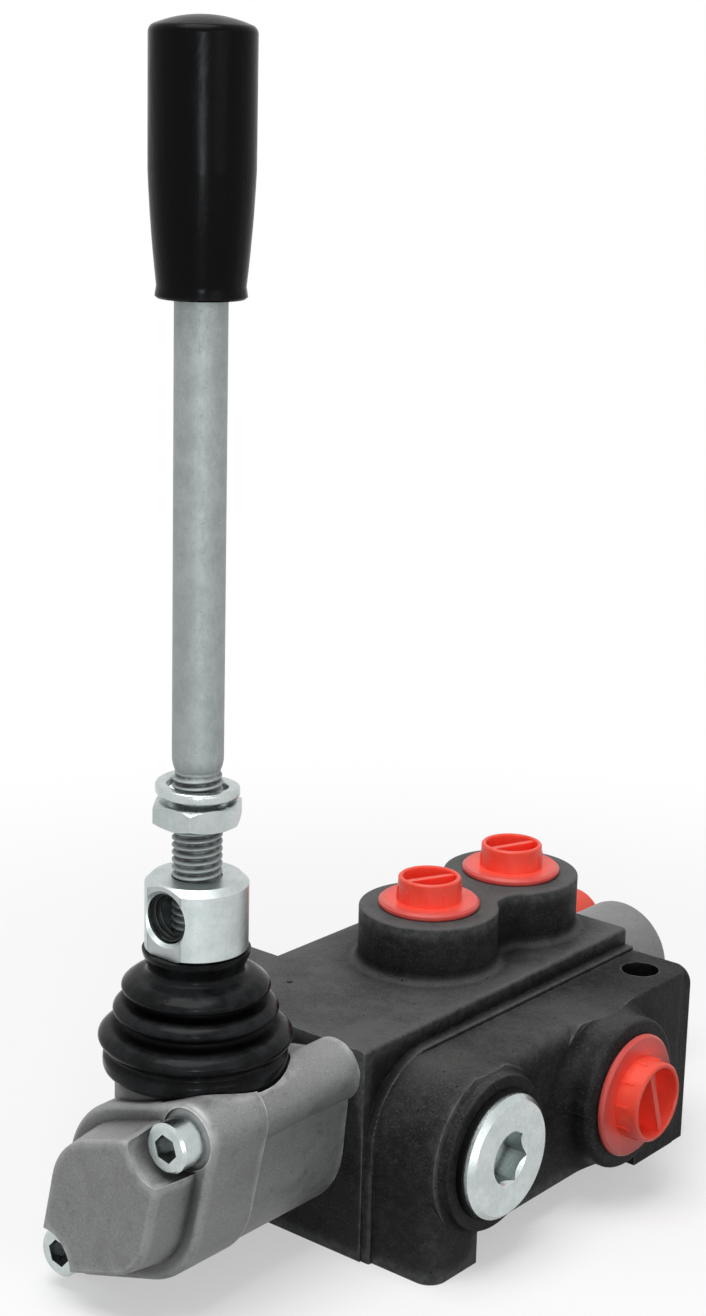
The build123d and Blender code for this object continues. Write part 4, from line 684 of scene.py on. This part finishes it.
def split_washer_piece():
    """Sprung washer: one turn of a square wire whose upper end stands proud of the lower."""
    low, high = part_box("spring_washer")
    outer = (high[0] - low[0]) / 2 - WASHER_CORNER
    inner = (high[0] - low[0]) / 2 - WASHER_WIRE_WIDTH + WASHER_CORNER
    lower = WASHER_CORNER
    upper = WASHER_WIRE_HEIGHT - WASHER_CORNER
    gap = math.radians(WASHER_GAP_DEGREES)
    start = math.radians(WASHER_SPLIT_DEGREES) + gap
    section = []
    corners = ((outer, lower, -90), (outer, upper, 0), (inner, upper, 90), (inner, lower, 180))
    for r, z, first in corners:
        for step in range(WASHER_CORNER_STEPS + 1):
            a = math.radians(first + 90 * step / WASHER_CORNER_STEPS)
            section.append((r + WASHER_CORNER * math.cos(a), z + WASHER_CORNER * math.sin(a)))
    verts = []
    for i in range(WASHER_STEPS + 1):
        share = i / WASHER_STEPS
        a = start + (2 * math.pi - 2 * gap) * share
        lift = low[2] + WASHER_LIFT + WASHER_RISE * (1.0 - share)
        for r, z in section:
            verts.append((LEVER.x + r * math.cos(a), LEVER.y + r * math.sin(a), lift + z))
    count = len(section)
    faces = tube_faces(WASHER_STEPS + 1, count)
    faces.append(tuple(range(count)))
    faces.append(tuple(WASHER_STEPS * count + j for j in reversed(range(count))))
    faces = [tuple(reversed(face)) for face in faces]
    piece = turned_piece("spring_washer_split", verts, faces)
    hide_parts("spring_washer")
    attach(piece, "lever")
    return piece


def side_thread_piece():
    """Inner thread of the open side hole in the lever block."""
    hole_z = HUB_HIGH[2] - SIDE_HOLE_DROP
    rows = spaced(SIDE_THREAD_START, SIDE_THREAD_END, THREAD_STEP)
    verts = []
    for depth in rows:
        for i in range(SIDE_THREAD_STEPS):
            a = 2 * math.pi * i / SIDE_THREAD_STEPS
            r = thread_radius(a, depth, SIDE_THREAD_OUTER, SIDE_THREAD_INNER)
            verts.append((LEVER.x + r * math.cos(a), HUB_LOW[1] + depth, hole_z + r * math.sin(a)))
    faces = tube_faces(len(rows), SIDE_THREAD_STEPS)
    piece = turned_piece("lever_side_thread", verts, faces)
    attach(piece, "lever")
    return piece


def soft_piece(node, name, material):
    """A new piece with a CAD node's shape, welded, smoothed and painted, that stands in for the
    node.
    """
    piece = link(name, NODES[node].data.copy())
    welded = bmesh.new()
    welded.from_mesh(piece.data)
    bmesh.ops.remove_doubles(welded, verts=welded.verts, dist=WELD_DISTANCE)
    welded.to_mesh(piece.data)
    welded.free()
    smooth_cad(piece)
    paint(piece, material)
    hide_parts(node)
    return piece


def soft_spring(node, name):
    """Coil with a CAD node's shape, hung on the housing, with a mesh of its own."""
    piece = soft_piece(node, name, wire_mat)
    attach(piece, "housing")
    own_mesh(piece)


# ------------------------------------------------------------ dress the CAD nodes

for node in NODES.values():
    smooth_cad(node)

paint(NODES["valve_body"], casting_material("body_casting"))
# The box's turret gets painted shade under the boot.
turret = (LEVER.x / MM, LEVER.y / MM, TURRET_RADIUS, *TURRET_SHADE_Z)
paint(NODES["lever_box"], die_cast_material("box_alloy", 0.30, turret))
paint(NODES["rear_cap"], die_cast_material("spring_cap_alloy", 0.25))
paint(NODES["lever_knob"], knob_material("knob_plastic"))
boot_mat = rubber_material("boot_rubber", (0.08, 0.26), 0.25, 0.8)
paint(NODES["lever_boot"], boot_mat)
boot = soft_piece("lever_boot", "lever_boot_rubber", boot_mat)
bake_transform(boot)
seal_mat = rubber_material("seal_black", (0.4, 0.6), 0.3)
for name in ("check_plug_seal", "relief_seal", "spool_seal_front", "spool_seal_rear"):
    paint(NODES[name], seal_mat)
for name, axis in (
    ("port_a_cap", "Z"), ("port_b_cap", "Z"), ("port_p_cap", "X"), ("port_t_cap", "X"),
):
    low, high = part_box(name)
    outer = (high[1] - low[1]) / 2 / MM
    hub = (*(centre(name) / MM), axis, outer * PINK_START, outer + PINK_PAST_RIM)
    paint(NODES[name], red_plastic_material("red_plastic_" + name[:6], hub))
paint(NODES["relief_cap"], red_plastic_material("red_plastic"))
plug_at = centre("check_plug") / MM
paint(NODES["check_plug"], zinc_material("plug_zinc", 0.60, (0.24, 0.36), 0.3, ("X", *plug_at)))
screw_mat = zinc_material("cover_screw_zinc", 0.58, (0.2, 0.28), 0.15, clear=0.92)
for name in ("lever_box_screws", "rear_cap_screws"):
    paint(NODES[name], screw_mat)
paint(NODES["lever_hub"], zinc_material(
    "lever_block_zinc", 0.57, (0.30, 0.44), 0.3, milled=HUB_LOW[1] / MM
))
paint(NODES["jam_nut"], zinc_material("nut_zinc", 0.50, (0.24, 0.38), 0.35))
washer_mat = zinc_material("washer_steel", 0.56, (0.2, 0.3), 0.15)
paint(NODES["spring_washer"], washer_mat)
paint(split_washer_piece(), washer_mat)
relief_mat = zinc_material("relief_zinc", 0.70, (0.22, 0.34), 0.3)
for name in ("relief_cartridge", "relief_screw", "relief_lock_nut"):
    paint(NODES[name], relief_mat)
steel_mat = steel_material("valve_steel")
for name in (
    "check_poppet", "relief_poppet", "seal_plate_front", "seal_plate_rear",
    "spool_tail_screw", "spring_cup_front", "spring_cup_rear",
):
    paint(NODES[name], steel_mat)
paint(NODES["spool"], steel_material("spool_steel", 0.55, 0.22))
paint(NODES["pivot_pin"], steel_material("pin_steel", 0.55, 0.25))
wire_mat = steel_material("spring_wire", 0.32, 0.36)
for name in ("check_spring", "relief_spring", "centring_spring"):
    paint(NODES[name], wire_mat)
soft_spring("check_spring", "check_spring_coil")
soft_spring("relief_spring", "relief_spring_coil")

rod = lever_rod_piece()
rod_thread = (LEVER.x / MM, LEVER.y / MM, THREAD_ROOT / MM, THREAD_CREST / MM, THREAD_TOP / MM)
paint(rod, zinc_material(
    "lever_rod_zinc", 0.385, (0.54, 0.64), 0.3, thread=rod_thread, metal=0.75, glints=1.0
))
# Painted shade: the thread inside the side hole is zinc painted near black.
paint(side_thread_piece(), zinc_material(
    "side_thread_shaded_zinc", 0.055, (0.35, 0.50), 0.4, clear=0.95
))

# ------------------------------------------------------------ studio

AIM = Vector((0.0, -0.02, 0.10))
WHITE = (1.0, 1.0, 1.0)
DAYLIGHT = (0.92, 0.97, 1.0)

# Name, place, width and height in metres, watts and colour.
SOFTBOXES = (
    ("top_softbox", (0.02, -0.28, 1.20), 0.8, 0.8, 11.5, WHITE),
    ("camera_softbox", (0.80, -0.92, 0.22), 0.12, 0.28, 3.4, DAYLIGHT),
    ("side_softbox", (1.05, -0.25, 0.42), 0.5, 0.5, 1.3, WHITE),
)


def softbox(name, place, width, height, power, color):
    """Area lamp that points at the middle of the object."""
    data = bpy.data.lights.new(name, "AREA")
    data.energy = power
    data.color = color
    data.size = width
    if height != width:
        data.shape = "RECTANGLE"
        data.size_y = height
    lamp = link(name, data)
    lamp.location = place
    lamp.rotation_euler = (AIM - Vector(place)).to_track_quat("-Z", "Y").to_euler()


def seen_directly(nodes, links):
    """1 for camera, mirror and transmission rays, 0 for the rays that light the object."""
    path = nodes.new("ShaderNodeLightPath")
    value = path.outputs["Is Camera Ray"]
    for other in ("Is Glossy Ray", "Is Transmission Ray"):
        either = nodes.new("ShaderNodeMath")
        either.operation = "MAXIMUM"
        links.new(value, either.inputs[0])
        links.new(path.outputs[other], either.inputs[1])
        value = either.outputs[0]
    return value


def two_greys(nodes, links, factor, unseen, seen):
    """One grey for the light it gives, another where it is seen."""
    mix = nodes.new("ShaderNodeMix")
    mix.data_type = "RGBA"
    mix.inputs["A"].default_value = (unseen, unseen, unseen, 1)
    mix.inputs["B"].default_value = (seen, seen, seen, 1)
    links.new(factor, mix.inputs["Factor"])
    return mix.outputs["Result"]


FLOOR_RADIUS = 3.0
FLOOR_STEPS = 64

# The floor is mostly paper within the first radius and plain white from the second on.
FLOOR_CLEAR = 0.10
FLOOR_WHITE = 0.34
FLOOR_GLOW = 0.45

# Greys of the paper and of the white, each unseen and seen.
PAPER = (0.12, 0.93)
GLOW = (0.05, 1.0)


def pale_floor():
    """Round floor that takes the shadow near the object and turns into white further out."""
    mesh = bpy.data.meshes.new("floor")
    turns = [2 * math.pi * i / FLOOR_STEPS for i in range(FLOOR_STEPS)]
    rim = [(FLOOR_RADIUS * math.cos(a), FLOOR_RADIUS * math.sin(a), 0) for a in turns]
    mesh.from_pydata(rim, [], [tuple(range(FLOOR_STEPS))])
    floor = link("floor", mesh)
    material = bpy.data.materials.new("floor_paper")
    material.use_nodes = True
    nodes = material.node_tree.nodes
    links = material.node_tree.links
    nodes.clear()
    seen = seen_directly(nodes, links)
    place = nodes.new("ShaderNodeTexCoord")
    length = nodes.new("ShaderNodeVectorMath")
    length.operation = "LENGTH"
    links.new(place.outputs["Object"], length.inputs[0])
    fade = nodes.new("ShaderNodeMapRange")
    fade.interpolation_type = "SMOOTHERSTEP"
    fade.inputs["From Min"].default_value = FLOOR_CLEAR
    fade.inputs["From Max"].default_value = FLOOR_WHITE
    fade.inputs["To Min"].default_value = FLOOR_GLOW
    links.new(length.outputs["Value"], fade.inputs["Value"])
    paper = nodes.new("ShaderNodeBsdfDiffuse")
    links.new(two_greys(nodes, links, seen, *PAPER), paper.inputs["Color"])
    white = nodes.new("ShaderNodeEmission")
    links.new(two_greys(nodes, links, seen, *GLOW), white.inputs["Color"])
    both = nodes.new("ShaderNodeMixShader")
    links.new(fade.outputs[0], both.inputs[0])
    links.new(paper.outputs[0], both.inputs[1])
    links.new(white.outputs[0], both.inputs[2])
    output = nodes.new("ShaderNodeOutputMaterial")
    links.new(both.outputs[0], output.inputs[0])
    mesh.materials.append(material)


# Upward share of a direction where the dome is dimmest and brightest, and those levels.
DOME_HEIGHTS = (-0.1, 0.9)
DOME_LEVELS = (0.03, 0.34)


def world():
    """White where it is seen; a dim dome, brighter above, for the light it gives."""
    w = bpy.data.worlds.new("studio")
    bpy.context.scene.world = w
    w.use_nodes = True
    nodes = w.node_tree.nodes
    links = w.node_tree.links
    nodes.clear()
    seen = seen_directly(nodes, links)
    place = nodes.new("ShaderNodeTexCoord")
    split = nodes.new("ShaderNodeSeparateXYZ")
    links.new(place.outputs["Generated"], split.inputs[0])
    height = nodes.new("ShaderNodeMapRange")
    height.interpolation_type = "SMOOTHSTEP"
    height.inputs["From Min"].default_value = DOME_HEIGHTS[0]
    height.inputs["From Max"].default_value = DOME_HEIGHTS[1]
    height.inputs["To Min"].default_value = DOME_LEVELS[0]
    height.inputs["To Max"].default_value = DOME_LEVELS[1]
    links.new(split.outputs["Z"], height.inputs["Value"])
    white = nodes.new("ShaderNodeMix")
    white.data_type = "FLOAT"
    links.new(seen, white.inputs["Factor"])
    links.new(height.outputs[0], white.inputs["A"])
    white.inputs["B"].default_value = 1.0
    background = nodes.new("ShaderNodeBackground")
    background.inputs["Color"].default_value = (1, 1, 1, 1)
    links.new(white.outputs["Result"], background.inputs["Strength"])
    output = nodes.new("ShaderNodeOutputWorld")
    links.new(background.outputs[0], output.inputs[0])


pale_floor()
world()
for lamp in SOFTBOXES:
    softbox(*lamp)

# ------------------------------------------------------------ camera

# Degrees, metres, millimetres of lens, and shift as a share of the picture's width.
CAMERA_AZIMUTH = 39.19
CAMERA_ELEVATION = 14.35
CAMERA_ROLL = 1.47
CAMERA_PLACE = Vector((0.29359, -0.38347, 0.23911))
CAMERA_LENS = 118.36
CAMERA_SENSOR = 36.0
CAMERA_SHIFT = (-0.0158, -0.0027)
CAMERA_NEAR = 0.01
CAMERA_FAR = 20.0


def camera():
    """The photograph's viewpoint, worked out from the valve's edges."""
    azimuth = math.radians(CAMERA_AZIMUTH)
    elevation = math.radians(CAMERA_ELEVATION)
    roll = math.radians(CAMERA_ROLL)
    back = Vector((
        math.sin(azimuth) * math.cos(elevation),
        -math.cos(azimuth) * math.cos(elevation),
        math.sin(elevation),
    ))
    level = Vector((math.cos(azimuth), math.sin(azimuth), 0.0))
    upright = back.cross(level)
    right = math.cos(roll) * level + math.sin(roll) * upright
    up = -math.sin(roll) * level + math.cos(roll) * upright
    data = bpy.data.cameras.new("camera")
    data.sensor_fit = "HORIZONTAL"
    data.sensor_width = CAMERA_SENSOR
    data.lens = CAMERA_LENS
    data.shift_x, data.shift_y = CAMERA_SHIFT
    data.clip_start = CAMERA_NEAR
    data.clip_end = CAMERA_FAR
    cam = link("camera", data)
    turn = Matrix((right, up, back)).transposed()
    cam.matrix_world = Matrix.Translation(CAMERA_PLACE) @ turn.to_4x4()
    bpy.context.scene.camera = cam


camera()
bpy.context.scene.view_settings.view_transform = "Standard"
